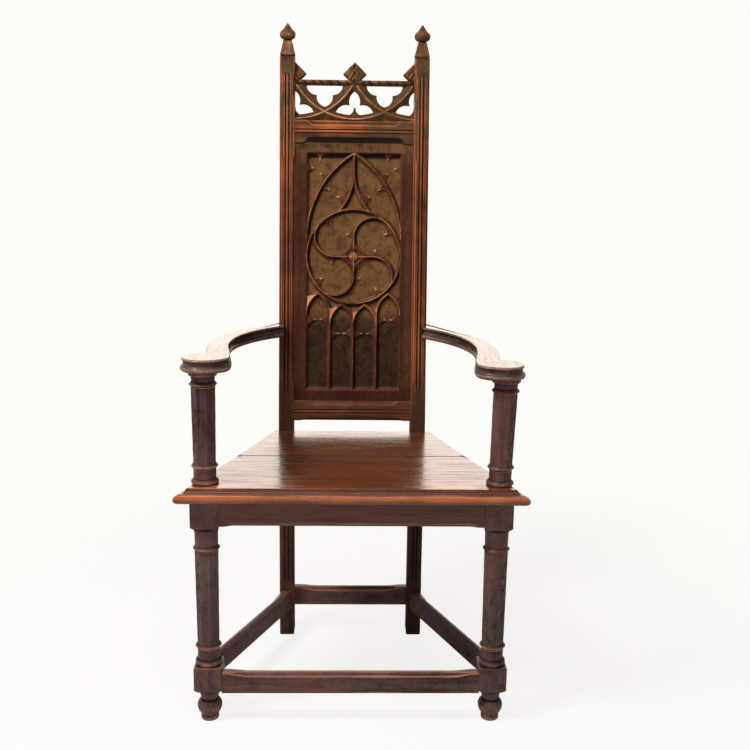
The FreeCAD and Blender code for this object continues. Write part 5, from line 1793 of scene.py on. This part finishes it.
@dataclass
class Cresting:
    """Pierced cresting: crossing arcs with blunt cusps, a notched bar and three leafy squares."""

    layout: Layout
    front_set: float = 5.0
    thick: float = 16.0
    overlap: float = 0.4
    sink: float = 0.3
    margin: float = 1.0
    grid: float = 0.9
    least: float = 1e-4
    crease: float = 50.0
    rail_drop: float = 126.0
    bar_drop: float = 54.0
    bar_high: float = 10.5
    arc_bend: float = 137.4
    arc_low: float = 635.0
    arc_pitch: float = 123.0
    arc_edge: float = 8.7
    square_half: float = 24.0
    square_rise: float = 12.0
    # Discs of the holes: place across from the hole's middle, place up and radius
    upper_lobe: Triple = (17.2, 0.0, 19.6)
    upper_drop: Triple = (-4.0, -23.5, 20.4)
    upper_slot: Triple = (15.0, -10.0, 10.0)
    drop_top: float = -12.0
    lower_lens: Triple = (-14.0, 672.0, 25.2)
    lower_wing: Triple = (17.5, 644.0, 21.5)
    lower_slot: Triple = (9.5, 659.0, 5.0)
    lens_base: float = 660.0
    fleur_top: float = 659.0
    fleur_bend: Triple = (656.5, 13.0, 2.2)
    fleur_halves: Pair = (2.2, 9.0)
    twist_pitch: float = 17.0
    twist_slope: float = 0.7
    twist_half: float = 0.09
    twist_deep: float = 1.1
    roll_deep: float = 4.0
    # Steepness, start and depth of the two slopes beside each arc's ridge
    slopes: tuple[Triple, Triple] = ((1.5, 0.7, 1.3), (0.5, 1.5, 5.0))
    ridge_half: float = 1.7
    ridge_run: float = 0.9
    below_over: float = 1.0
    below_run: float = 4.0
    twist_hand: float = 3.0
    twist_seed: float = 4.0
    leaf_deep: float = 1.4
    leaf_carved: float = 1.3
    leaf_spread: float = 0.55
    leaf_vein: float = 1.5
    fold_way: Pair = (1.1, 0.75)
    fold_pitch: float = 0.62
    boss: Triple = (0.0, -6.0, 14.0)
    boss_run: float = 8.0
    boss_high: float = 1.2
    leaf_rim: float = 2.2
    rim_deep: float = 2.0
    edge_run: float = 1.3
    edge_deep: float = 0.9
    slope_dirt: float = 0.5
    below_dirt: float = 0.5
    bar_set: float = 1.0
    bar_over: float = 0.8
    bar_run: float = 1.2
    square_over: float = 0.4
    rub_below: float = 2.5
    rub_run: float = 4.0
    leaf_wear: float = 0.3
    leaf_low: float = 2.0
    worn_edge: float = 1.6
    worn_run: float = 1.2
    slope_from: float = 1.6
    slope_run: float = 2.0
    twist_dirt: float = 0.7
    leaf_dirt: float = 0.7
    edge_wear: float = 0.4
    bar_wear: float = 0.6
    tone: float = 0.8
    rear_tone: float = 0.4

    @property
    def bar_base(self) -> float:
        """Underside of the bar up the rake."""
        return self.layout.slant - self.bar_drop

    @property
    def square_middle(self) -> float:
        """Middle of the squares up the rake."""
        return self.bar_base + self.bar_high + self.square_rise

    def upper_hole(self, x: Array, z: Array, middle: float) -> Array:
        """Signed distance to a three-lobed hole under the bar.

        Args:
            x: Places across.
            z: Places up the rake.
            middle: Middle of the hole.

        Returns:
            One distance for each place, below 0 inside the hole.
        """
        px, down = np.abs(x - middle), z - self.bar_base
        half, up, high = self.upper_slot
        slot = np.maximum(px - half, np.abs(down - up) - high)
        drop = np.maximum(disc(px, down, *self.upper_drop), down - self.drop_top)
        return np.maximum(np.minimum.reduce([disc(px, down, *self.upper_lobe), slot, drop]), down)

    def lower_hole(self, x: Array, z: Array, middle: float) -> Array:
        """Signed distance to a pointed hole with two wings over a small fleur.

        Args:
            x: Places across.
            z: Places up the rake.
            middle: Middle of the hole.

        Returns:
            One distance for each place, below 0 inside the hole.
        """
        px = np.abs(x - middle)
        half, up, high = self.lower_slot
        lens = np.maximum(disc(px, z, *self.lower_lens), self.lens_base - z)
        slot = np.maximum(px - half, np.abs(z - up) - high)
        arcs = disc(px, z, 0.0, self.arc_low + self.arc_bend, self.arc_bend - self.arc_edge)
        whole = np.maximum(np.minimum.reduce([lens, disc(px, z, *self.lower_wing), slot]), arcs)
        top, run, curl = self.fleur_bend
        stem = px - (self.fleur_halves[0] + self.fleur_halves[1] * np.clip((top - z) / run, 0, 1) ** curl)
        return np.maximum(whole, -np.maximum(stem, z - self.fleur_top))

    def squares(self, x: Array, z: Array) -> Array:
        """Signed distance to the three squares that stand on their corners."""
        return np.minimum.reduce([(np.abs(x - step * self.arc_pitch) + np.abs(z - self.square_middle)
                                   - self.square_half) / math.sqrt(2) for step in (-1, 0, 1)])

    def solid(self, x: Array, z: Array) -> Array:
        """Signed distance to the cresting.

        Args:
            x: Places across.
            z: Places up the rake.

        Returns:
            One distance for each place, below 0 inside the cresting.
        """
        holes = [self.upper_hole(x, z, side * self.arc_pitch / 2) for side in (-1, 1)]
        holes += [self.lower_hole(x, z, step * self.arc_pitch) for step in (-1, 0, 1)]
        body = most(z - self.bar_base - self.bar_high, *[-hole for hole in holes])
        return np.minimum(body, self.squares(x, z))

    def relief(self, x: Array, z: Array) -> Arrays:
        """Carved face of the cresting.

        Args:
            x: Places across.
            z: Places up the rake.

        Returns:
            Depth of the face, wear and dirt at each place.
        """
        distance = np.minimum.reduce([np.abs(disc(x, z, step * self.arc_pitch, self.arc_low + self.arc_bend,
                                                  self.arc_bend)) for step in (-1, 0, 1)])
        slope = sum(np.clip(steep * (distance - start), 0, deep) for steep, start, deep in self.slopes)
        ridge = smooth((self.ridge_half - distance) / self.ridge_run)
        below = np.clip((self.arc_low + self.below_over - z) / self.below_run, 0, 1)
        half = self.bar_high / 2
        off_bar = z - self.bar_base - half
        on_bar = smooth((half + self.bar_over - np.abs(off_bar)) / self.bar_run)
        uneven = self.twist_hand * wander(x, self.twist_seed)
        turns = (x + self.twist_slope * off_bar + uneven) / self.twist_pitch
        twist = hill(((turns + 0.5) % 1.0 - 0.5) / self.twist_half)
        bar = self.bar_set + self.roll_deep * (np.abs(off_bar) / half) ** 2 + self.twist_deep * twist
        square = -self.squares(x, z)
        px = (x + self.arc_pitch / 2) % self.arc_pitch - self.arc_pitch / 2
        pz = z - self.square_middle
        vein = hill(px) + hill(np.abs(px) - self.leaf_spread * np.abs(pz) - self.leaf_vein)
        way = np.abs(px) * self.fold_way[0] + pz * self.fold_way[1]
        fold = (1 + np.cos(way * self.fold_pitch)) / 2
        leaf = self.leaf_deep + self.leaf_carved * (vein + fold)
        leaf -= self.boss_high * smooth(-disc(px, pz, *self.boss) / self.boss_run)
        leaf += self.rim_deep * smooth((self.leaf_rim - square) / self.leaf_rim)
        on_square = smooth((square + self.square_over) / (2 * self.square_over))
        edge = -self.solid(x, z)
        depth = slope * (1 - on_bar) + bar * on_bar
        depth = depth * (1 - on_square) + leaf * on_square
        depth += self.edge_deep * smooth((self.edge_run - edge) / self.edge_run)
        rubbed = self.bar_wear * on_bar * (1 - twist) * smooth((off_bar + self.rub_below) / self.rub_run)
        wear = most(np.maximum(ridge * (1 - on_bar), rubbed) * (1 - on_square),
                    on_square * (1 - fold) * self.leaf_wear * (1 + (pz < self.leaf_low)),
                    self.edge_wear * smooth((self.worn_edge - edge) / self.worn_run))
        sloped = smooth((distance - self.slope_from) / self.slope_run) * (1 - on_bar) * (1 - on_square)
        dirt = most(on_bar * (1 - self.twist_dirt + self.twist_dirt * twist),
                    on_square * np.clip(vein, 0, 1) * self.leaf_dirt,
                    self.slope_dirt * sloped, self.below_dirt * below)
        return depth, np.clip(wear, 0, 1), np.clip(dirt, 0, 1)

    def cells(self) -> tuple[list[list[int]], Array]:
        """Cut the outline through a fine grid.

        Returns:
            Loops of point numbers that fill the outline, and each point's place across and up.
        """
        plan = self.layout
        reach = plan.post_inner + self.overlap
        low = plan.slant - self.rail_drop - self.sink
        high = self.square_middle + self.square_half + self.margin
        xs = np.linspace(-reach, reach, int(2 * reach / self.grid))
        zs = np.linspace(low, high, int((high - low) / self.grid))
        value = self.solid(*np.meshgrid(xs, zs))
        value[np.abs(value) < self.least] = self.least
        inside = value < 0
        touched = inside[:-1, :-1] | inside[1:, :-1] | inside[:-1, 1:] | inside[1:, 1:]
        points: dict[tuple[int, int, int], Pair] = {}
        loops = []
        for row, column in zip(*np.nonzero(touched)):
            corners = [(row, column), (row, column + 1), (row + 1, column + 1), (row + 1, column)]
            loop = []
            for (r, c), (r2, c2) in zip(corners, corners[1:] + corners[:1]):
                if inside[r, c]:
                    loop.append((r, c, 0))
                    points.setdefault(loop[-1], (xs[c], zs[r]))
                if inside[r, c] != inside[r2, c2]:
                    share = value[r, c] / (value[r, c] - value[r2, c2])
                    loop.append((min(r, r2), min(c, c2), 1 if r == r2 else 2))
                    place = (xs[c] + share * (xs[c2] - xs[c]), zs[r] + share * (zs[r2] - zs[r]))
                    points.setdefault(loop[-1], place)
            loops.append(loop)
        number = {key: i for i, key in enumerate(points)}
        return [[number[key] for key in loop] for loop in loops], np.array(list(points.values()))

    def build(self, finish: Material) -> None:
        """Build and dress the cresting, with a carved front, a plain back and walls round its edges."""
        plan = self.layout
        cells, places = self.cells()
        x, z = places.T
        depth, wear, dirt = self.relief(x, z)
        skin = Skin(Grain.ACROSS)
        skin.add(plan.raked(x, z, self.front_set + depth), joined(wear, dirt, self.tone))
        rear = skin.add(plan.raked(x, z, self.front_set + self.thick), joined(0 * x, 0.0, self.rear_tone))
        for cell in cells:
            skin.faces += [cell, [rear + point for point in cell[::-1]]]
        edges = dict.fromkeys(edge for cell in cells for edge in zip(cell, cell[1:] + cell[:1]))
        walls = [(first, last) for first, last in edges if (last, first) not in edges]
        skin.faces += [[first, rear + first, rear + last, last] for first, last in walls]
        skin.build("cresting_oak", finish, "carved_oak", ["cresting"], self.crease)


class Signal:
    """Socket of a shader graph that takes part in Python expressions."""

    def __init__(self, graph: "Graph", socket: bpy.types.NodeSocket) -> None:
        """Keep the graph and the socket."""
        self.graph = graph
        self.socket = socket

    def __add__(self, other: "Signal | float") -> "Signal":
        """Sum."""
        return self.graph.maths("ADD", self, other)

    def __radd__(self, other: float) -> "Signal":
        """Sum, reflected."""
        return self.graph.maths("ADD", other, self)

    def __sub__(self, other: "Signal | float") -> "Signal":
        """Difference."""
        return self.graph.maths("SUBTRACT", self, other)

    def __rsub__(self, other: float) -> "Signal":
        """Difference, reflected."""
        return self.graph.maths("SUBTRACT", other, self)

    def __mul__(self, other: "Signal | float") -> "Signal":
        """Product."""
        return self.graph.maths("MULTIPLY", self, other)

    def __rmul__(self, other: float) -> "Signal":
        """Product, reflected."""
        return self.graph.maths("MULTIPLY", other, self)

    def swing(self, weight: float) -> "Signal":
        """Swing of a noise about its middle value, times a weight."""
        return (self - 0.5) * weight

    def between(self, low: float, high: float) -> "Signal":
        """Share of the way from one value to another, eased and held within 0 and 1."""
        return self.graph.signal("ShaderNodeMapRange", {"interpolation_type": "SMOOTHSTEP"},
                                 {0: self, 1: low, 2: high, 3: 0.0, 4: 1.0})


class Graph:
    """Node tree of a material or of the world."""

    def __init__(self, owner: Material | bpy.types.World) -> None:
        """Start from an empty tree."""
        owner.use_nodes = True
        self.owner = owner
        self.tree = owner.node_tree
        self.tree.nodes.clear()

    def node(self, kind: str, settings: dict | None = None, inputs: dict | None = None) -> bpy.types.Node:
        """Add a node.

        Args:
            kind: Type of the node.
            settings: Its properties, set first.
            inputs: Values or signals by socket name or number.

        Returns:
            The new node.
        """
        item = self.tree.nodes.new(kind)
        for key, value in (settings or {}).items():
            setattr(item, key, value)
        for key, value in (inputs or {}).items():
            if isinstance(value, Signal):
                self.tree.links.new(value.socket, item.inputs[key])
            else:
                item.inputs[key].default_value = value
        return item

    def signal(self, kind: str, settings: dict | None = None, inputs: dict | None = None,
               output: str | int = 0) -> Signal:
        """Add a node and give one of its outputs."""
        return Signal(self, self.node(kind, settings, inputs).outputs[output])

    def attribute(self, name: str) -> Signal:
        """Vector that each point of a mesh keeps under a name."""
        return self.signal("ShaderNodeAttribute", {"attribute_name": name}, output="Vector")

    def parts(self, vector: Signal) -> list[Signal]:
        """The three parts of a vector."""
        node = self.node("ShaderNodeSeparateXYZ", {}, {0: vector})
        return [Signal(self, socket) for socket in node.outputs]

    def maths(self, operation: str, left: Signal | float, right: Signal | float) -> Signal:
        """One Math node as a signal."""
        return self.signal("ShaderNodeMath", {"operation": operation}, {0: left, 1: right})

    def blend(self, share: Signal | float, first: Signal | Colour, second: Signal | Colour) -> Signal:
        """Colour between two colours."""
        return self.signal("ShaderNodeMix", {"data_type": "RGBA"}, {0: share, 6: first, 7: second}, 2)

    def noise(self, place: Signal, scale: Triple, detail: float = 3.0, rough: float = 0.6,
              warp: float = 0.0) -> Signal:
        """Noise that is stretched along each axis.

        Args:
            place: Where the noise is taken.
            scale: How fine it is along each axis.
            detail: Number of finer layers.
            rough: Strength of the finer layers.
            warp: How far it is bent.

        Returns:
            The noise.
        """
        scaled = self.signal("ShaderNodeVectorMath", {"operation": "MULTIPLY"}, {0: place, 1: scale})
        return self.signal("ShaderNodeTexNoise", {}, {"Vector": scaled, "Scale": 1.0, "Detail": detail,
                                                      "Roughness": rough, "Distortion": warp})

    def surface(self, kind: str, share: Signal, first: Signal, second: Signal) -> None:
        """Send a mix of two shaders to the output."""
        mixed = self.signal("ShaderNodeMixShader", {}, {0: share, 1: first, 2: second})
        self.node(kind, {}, {0: mixed})


def colour(red: float, green: float, blue: float) -> Colour:
    """Opaque colour."""
    return (red, green, blue, 1.0)


@dataclass(frozen=True)
class OakFinish:
    """Waxed oak: two tones of stained wood, worn arrises where the stain is thin, and dark hollows. The worn
    colour also paints highlights and the grime colour also paints shade and shadow, wherever the pieces'
    marks call for them.
    """

    name: str
    red: Colour = colour(0.106, 0.034, 0.018)
    olive: Colour = colour(0.128, 0.066, 0.030)
    deep: Colour = colour(0.016, 0.008, 0.006)
    worn_and_lit: Colour = colour(0.34, 0.105, 0.038)
    grime_and_shade: Colour = colour(0.007, 0.0045, 0.004)
    wear: float = 0.65
    shade: float = 0.5
    stripe: float = 1.0
    mottle: float = 0.0
    gloss: float = 0.42
    streaked: float = 0.16
    edge_rough: float = -0.06
    shine: float = 0.16
    relief: float = 0.25
    relief_high: float = 0.0006
    ior: float = 1.5
    marked: bool = True

    # Fineness of the grain along and across it, and of the patches all ways
    FIGURE = (3.0, 34.0, 34.0)
    STREAK = (9.0, 170.0, 170.0)
    FIBRE = (22.0, 620.0, 620.0)
    PORES = (70.0, 1500.0, 1500.0)
    CLOUD = (3.2, 3.2, 3.2)
    PATCH = (11.0, 11.0, 11.0)
    FINE = (120.0, 120.0, 120.0)
    BLOTCH = (52.0, 52.0, 52.0)
    # Where each noise starts and ends to count, and its share of the dark stripes
    FIGURE_BAND, FIGURE_DARK = (0.42, 0.7), 0.4
    FINE_BAND, STREAK_DARK, FIBRE_DARK = (0.45, 0.75), 0.35, 0.2
    PORE_BAND, PORE_DARK = (0.60, 0.72), 0.5
    CLOUD_BAND = (0.42, 0.72)
    BLOTCH_BAND = (0.42, 0.68)
    PATCH_BAND, PATCH_LEAN = (0.35, 0.68), 0.5
    STRIPE_MOST = 1.4
    # How far the noises move the tone, the wear (with its painted highlights), the dirt (with its painted
    # shade and shadow) and the roughness, and lift the surface
    TONE_BAND, TONE_PATCH, TONE_CLOUD = (0.05, 0.95), 1.1, 0.8
    WEAR_BAND, WEAR_STREAK, WEAR_PATCH, WEAR_CLOUD = (0.55, 1.45), 0.9, 1.7, 1.0
    DIRT_BAND, DIRT_DARK, DIRT_FINE, DIRT_ROUGH = (0.12, 0.95), 0.92, 0.35, 0.4
    FINE_ROUGH = 0.14
    FIBRE_HIGH, PORE_DEEP, STREAK_HIGH = 0.6, 0.9, 0.5

    def material(self) -> Material:
        """Build the material.

        Returns:
            The finished material.
        """
        graph = Graph(bpy.data.materials.new(self.name))
        place = graph.signal("ShaderNodeTexCoord", output="Object")
        grain = graph.attribute("grain") if self.marked else place
        figure = graph.noise(grain, self.FIGURE, 4.0, warp=0.6)
        streak = graph.noise(grain, self.STREAK)
        fibre = graph.noise(grain, self.FIBRE)
        pores = graph.noise(grain, self.PORES, 2.0, 0.5).between(*self.PORE_BAND)
        cloud = graph.noise(place, self.CLOUD, 2.0, 0.5)
        patch = graph.noise(place, self.PATCH)
        fine = graph.noise(place, self.FINE)
        dark = figure.between(*self.FIGURE_BAND) * self.FIGURE_DARK
        dark = dark + streak.between(*self.FINE_BAND) * self.STREAK_DARK
        dark = (dark + fibre.between(*self.FINE_BAND) * self.FIBRE_DARK) * self.stripe
        lean = patch.between(*self.PATCH_BAND) * self.PATCH_LEAN
        if self.marked:
            # The wear mark also carries painted highlights, and the dirt mark also carries painted shade and
            # shadow
            wear, dirt, tone = graph.parts(graph.attribute("age"))
            blotch = graph.noise(place, self.BLOTCH, 4.0, 0.65, 0.5)
            mottled = blotch.between(*self.BLOTCH_BAND) * self.mottle
            lean = tone + patch.swing(self.TONE_PATCH) + cloud.swing(self.TONE_CLOUD)
            lean = lean.between(*self.TONE_BAND)
            dark = dark * (self.STRIPE_MOST - tone) + mottled * tone
        base = graph.blend(lean, self.red, self.olive)
        base = graph.blend(dark + cloud.between(*self.CLOUD_BAND) * self.shade, base, self.deep)
        base = graph.blend(pores * self.PORE_DARK, base, self.grime_and_shade)
        rough = self.gloss + streak.swing(self.streaked) + fine.swing(self.FINE_ROUGH)
        rough = rough + pores * self.FINE_ROUGH
        if self.marked:
            # Worn colour for wear and painted highlights, grime colour for dirt and painted shade and shadow
            chance = wear + streak.swing(self.WEAR_STREAK) + patch.swing(self.WEAR_PATCH)
            chance = chance + cloud.swing(self.WEAR_CLOUD)
            rubbed = chance.between(*self.WEAR_BAND) * self.wear
            dirt_and_shade = (dirt + fine.swing(self.DIRT_FINE)).between(*self.DIRT_BAND) * self.DIRT_DARK
            base = graph.blend(dirt_and_shade, graph.blend(rubbed, base, self.worn_and_lit), self.grime_and_shade)
            rough = rough + rubbed * self.edge_rough + dirt_and_shade * self.DIRT_ROUGH
        height = fibre * self.FIBRE_HIGH - pores * self.PORE_DEEP + streak * self.STREAK_HIGH
        bump = graph.signal("ShaderNodeBump", {}, {"Strength": self.relief, "Distance": self.relief_high,
                                                   "Height": height})
        shader = graph.signal("ShaderNodeBsdfPrincipled", {}, {
            "Base Color": base, "Roughness": rough, "Normal": bump, "IOR": self.ior,
            "Specular IOR Level": self.shine})
        graph.node("ShaderNodeOutputMaterial", {}, {0: shader})
        return graph.owner


class Finish(Enum):
    """The chair's finishes."""

    FRAME = OakFinish("frame_oak_finish", red=colour(0.112, 0.033, 0.016), worn_and_lit=colour(0.42, 0.110, 0.032),
                      wear=0.8, stripe=0.9, mottle=0.35, shine=0.1)
    LEG = OakFinish("leg_oak_finish", red=colour(0.124, 0.050, 0.043), olive=colour(0.124, 0.082, 0.071),
                    worn_and_lit=colour(0.40, 0.155, 0.085), wear=0.8, stripe=0.75, mottle=0.7, gloss=0.4, shine=0.12)
    SEAT = OakFinish("seat_oak_finish", red=colour(0.125, 0.034, 0.013), olive=colour(0.092, 0.042, 0.020),
                     worn_and_lit=colour(0.44, 0.115, 0.036), wear=0.85, shade=0.6, gloss=0.22, streaked=0.9,
                     shine=0.42, relief=0.07)
    ARM = OakFinish("arm_oak_finish", red=colour(0.115, 0.058, 0.050), worn_and_lit=colour(0.34, 0.185, 0.13),
                    gloss=0.28, shine=0.27, relief=0.05)
    CARVED = OakFinish("carved_oak_finish", red=colour(0.100, 0.025, 0.013),
                       olive=colour(0.158, 0.071, 0.026), worn_and_lit=colour(0.48, 0.215, 0.088), wear=0.95,
                       shade=0.35, stripe=0.7, mottle=0.5, gloss=0.48, shine=0.08)
    INNER = OakFinish("inner_oak_finish", red=colour(0.26, 0.15, 0.075), olive=colour(0.3, 0.19, 0.10),
                      deep=colour(0.12, 0.065, 0.03), gloss=0.7, marked=False)


@dataclass(frozen=True)
class Lamp:
    """Soft rectangular lamp: place, aim and size in metres, power, and whether gloss mirrors it."""

    name: str
    place: Triple
    aim: Triple
    size: Pair
    power: float
    tint: Triple = (1.0, 1.0, 1.0)
    mirrored: bool = True

    def build(self) -> None:
        """Add the lamp to the scene."""
        data = bpy.data.lights.new(self.name, "AREA")
        data.color = self.tint
        data.shape = "RECTANGLE"
        data.size, data.size_y = self.size
        data.energy = self.power
        item = bpy.data.objects.new(self.name, data)
        item.location = self.place
        item.rotation_euler = (Vector(self.aim) - Vector(self.place)).to_track_quat("-Z", "Y").to_euler()
        item.visible_camera = False
        item.visible_glossy = self.mirrored
        bpy.context.scene.collection.objects.link(item)


@dataclass
class Studio:
    """White studio: floor, soft lights and the camera of the photograph."""

    eye: Triple = (-11.4, -2038.4, 1068.1)
    focal: float = 1070.46
    picture_width: int = 750
    sensor: float = 36.0
    sight: float = 50.0
    pitch: float = 12.681
    yaw: float = 1.539
    roll: float = 0.795
    floor_reach: float = 9.0
    floor_fade: Pair = (0.5, 1.7)
    floor_glow: float = 0.88
    paper: Colour = colour(0.80, 0.80, 0.80)
    floor_white: Colour = colour(0.985, 0.965, 0.955)
    ground_white: Colour = colour(0.983, 0.974, 0.94)
    ambient: float = 0.08
    front_mirror: float = 0.04
    behind: Pair = (-0.35, 0.25)
    lamps: tuple[Lamp, ...] = (
        Lamp("key", (-1.55, -1.05, 2.95), (0.0, 0.1, 0.8), (0.7, 0.7), 97.0),
        Lamp("top", (0.0, -0.95, 2.7), (0.0, -0.75, 0.0), (2.4, 0.12), 21.0),
        Lamp("fill", (0.7, -2.6, 0.7), (0.0, -0.1, 0.45), (2.2, 1.0), 14.0, mirrored=False),
        Lamp("back", (0.0, 3.4, 1.7), (0.0, 0.0, 0.7), (4.0, 1.6), 62.0, (1.0, 0.87, 0.74)))

    def camera(self) -> None:
        """Place the camera at the photograph's viewing angle."""
        data = bpy.data.cameras.new("camera")
        data.sensor_width = self.sensor
        data.lens = self.focal / self.picture_width * self.sensor
        data.clip_end = self.sight
        item = bpy.data.objects.new("camera", data)
        turn = Matrix.Identity(4)
        for angle, axis in ((-self.yaw, "Z"), (90 - self.pitch, "X"), (self.roll, "Z")):
            turn = turn @ Matrix.Rotation(math.radians(angle), 4, axis)
        item.matrix_world = Matrix.Translation(Vector(self.eye) * MM) @ turn
        bpy.context.scene.collection.objects.link(item)
        bpy.context.scene.camera = item

    def floor(self) -> None:
        """Lay a pale floor that fades into the white ground and keeps the chair's shadow."""
        mesh = bpy.data.meshes.new("floor")
        reach = self.floor_reach
        corners = [(-reach, -reach, 0), (reach, -reach, 0), (reach, reach, 0), (-reach, reach, 0)]
        mesh.from_pydata(corners, [], [(0, 1, 2, 3)])
        graph = Graph(bpy.data.materials.new("floor_finish"))
        seen = graph.signal("ShaderNodeLightPath", output="Is Camera Ray")
        place = graph.signal("ShaderNodeTexCoord", output="Object")
        away = graph.signal("ShaderNodeVectorMath", {"operation": "LENGTH"}, {0: place}, "Value")
        far = away.between(*self.floor_fade)
        paper = graph.signal("ShaderNodeBsdfDiffuse", {}, {"Color": self.paper})
        tint = graph.blend(far, self.floor_white, self.ground_white)
        glow = graph.signal("ShaderNodeEmission", {}, {"Color": tint, "Strength": 1.0})
        share = seen * (far * (1 - self.floor_glow) + self.floor_glow)
        graph.surface("ShaderNodeOutputMaterial", share, paper, glow)
        mesh.materials.append(graph.owner)
        item = bpy.data.objects.new("floor", mesh)
        bpy.context.scene.collection.objects.link(item)

    def world(self) -> None:
        """White ground for the eye and behind in reflections, and an even dim light from all round."""
        graph = Graph(bpy.data.worlds.new("studio"))
        bpy.context.scene.world = graph.owner
        path = graph.node("ShaderNodeLightPath")
        seen, mirrored, through = (Signal(graph, path.outputs[f"Is {kind} Ray"])
                                   for kind in ("Camera", "Glossy", "Transmission"))
        way = graph.signal("ShaderNodeTexCoord", output="Generated")
        behind = graph.parts(way)[1].between(*self.behind)
        mirrored = mirrored * (behind * (1 - self.front_mirror) + self.front_mirror)
        white = graph.maths("MAXIMUM", graph.maths("MAXIMUM", seen, through), mirrored)
        dim, bright = (
            graph.signal("ShaderNodeBackground", {}, {"Color": self.ground_white, "Strength": power})
            for power in (self.ambient, 1.0))
        graph.surface("ShaderNodeOutputWorld", white, dim, bright)

    def build(self) -> None:
        """Set up the whole studio."""
        self.camera()
        self.floor()
        self.world()
        for lamp in self.lamps:
            lamp.build()
        bpy.context.scene.view_settings.view_transform = "Standard"
        log.info("studio: camera, floor and lamps")


def dress_hidden(finish: Material) -> None:
    """Give the hidden dowels and glue blocks their plain oak."""
    for node in ("seat_dowels", "arm_dowels", "seat_glue_blocks"):
        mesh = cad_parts[node].data
        mesh.materials.clear()
        mesh.materials.append(finish)
        log.info("%s: dressed", node)


def main() -> None:
    """Build every sub-assembly, dress it and set up the studio."""
    logging.basicConfig(level=logging.INFO, format="%(name)s: %(message)s")
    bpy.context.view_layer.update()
    layout = Layout.from_frame()
    finishes = {finish: finish.value.material() for finish in Finish}
    Posts(layout).build(finishes[Finish.FRAME], finishes[Finish.CARVED])
    Turnings(layout).build(finishes[Finish.LEG])
    Rails(layout).build(finishes[Finish.LEG])
    BackRails(layout).build(finishes[Finish.FRAME])
    Arms(layout).build(finishes[Finish.ARM])
    Seat(layout).build(finishes[Finish.SEAT])
    TraceryPanel(layout).build(finishes[Finish.CARVED])
    Cresting(layout).build(finishes[Finish.CARVED])
    dress_hidden(finishes[Finish.INNER])
    Studio().build()


if __name__ == "__main__":
    main()
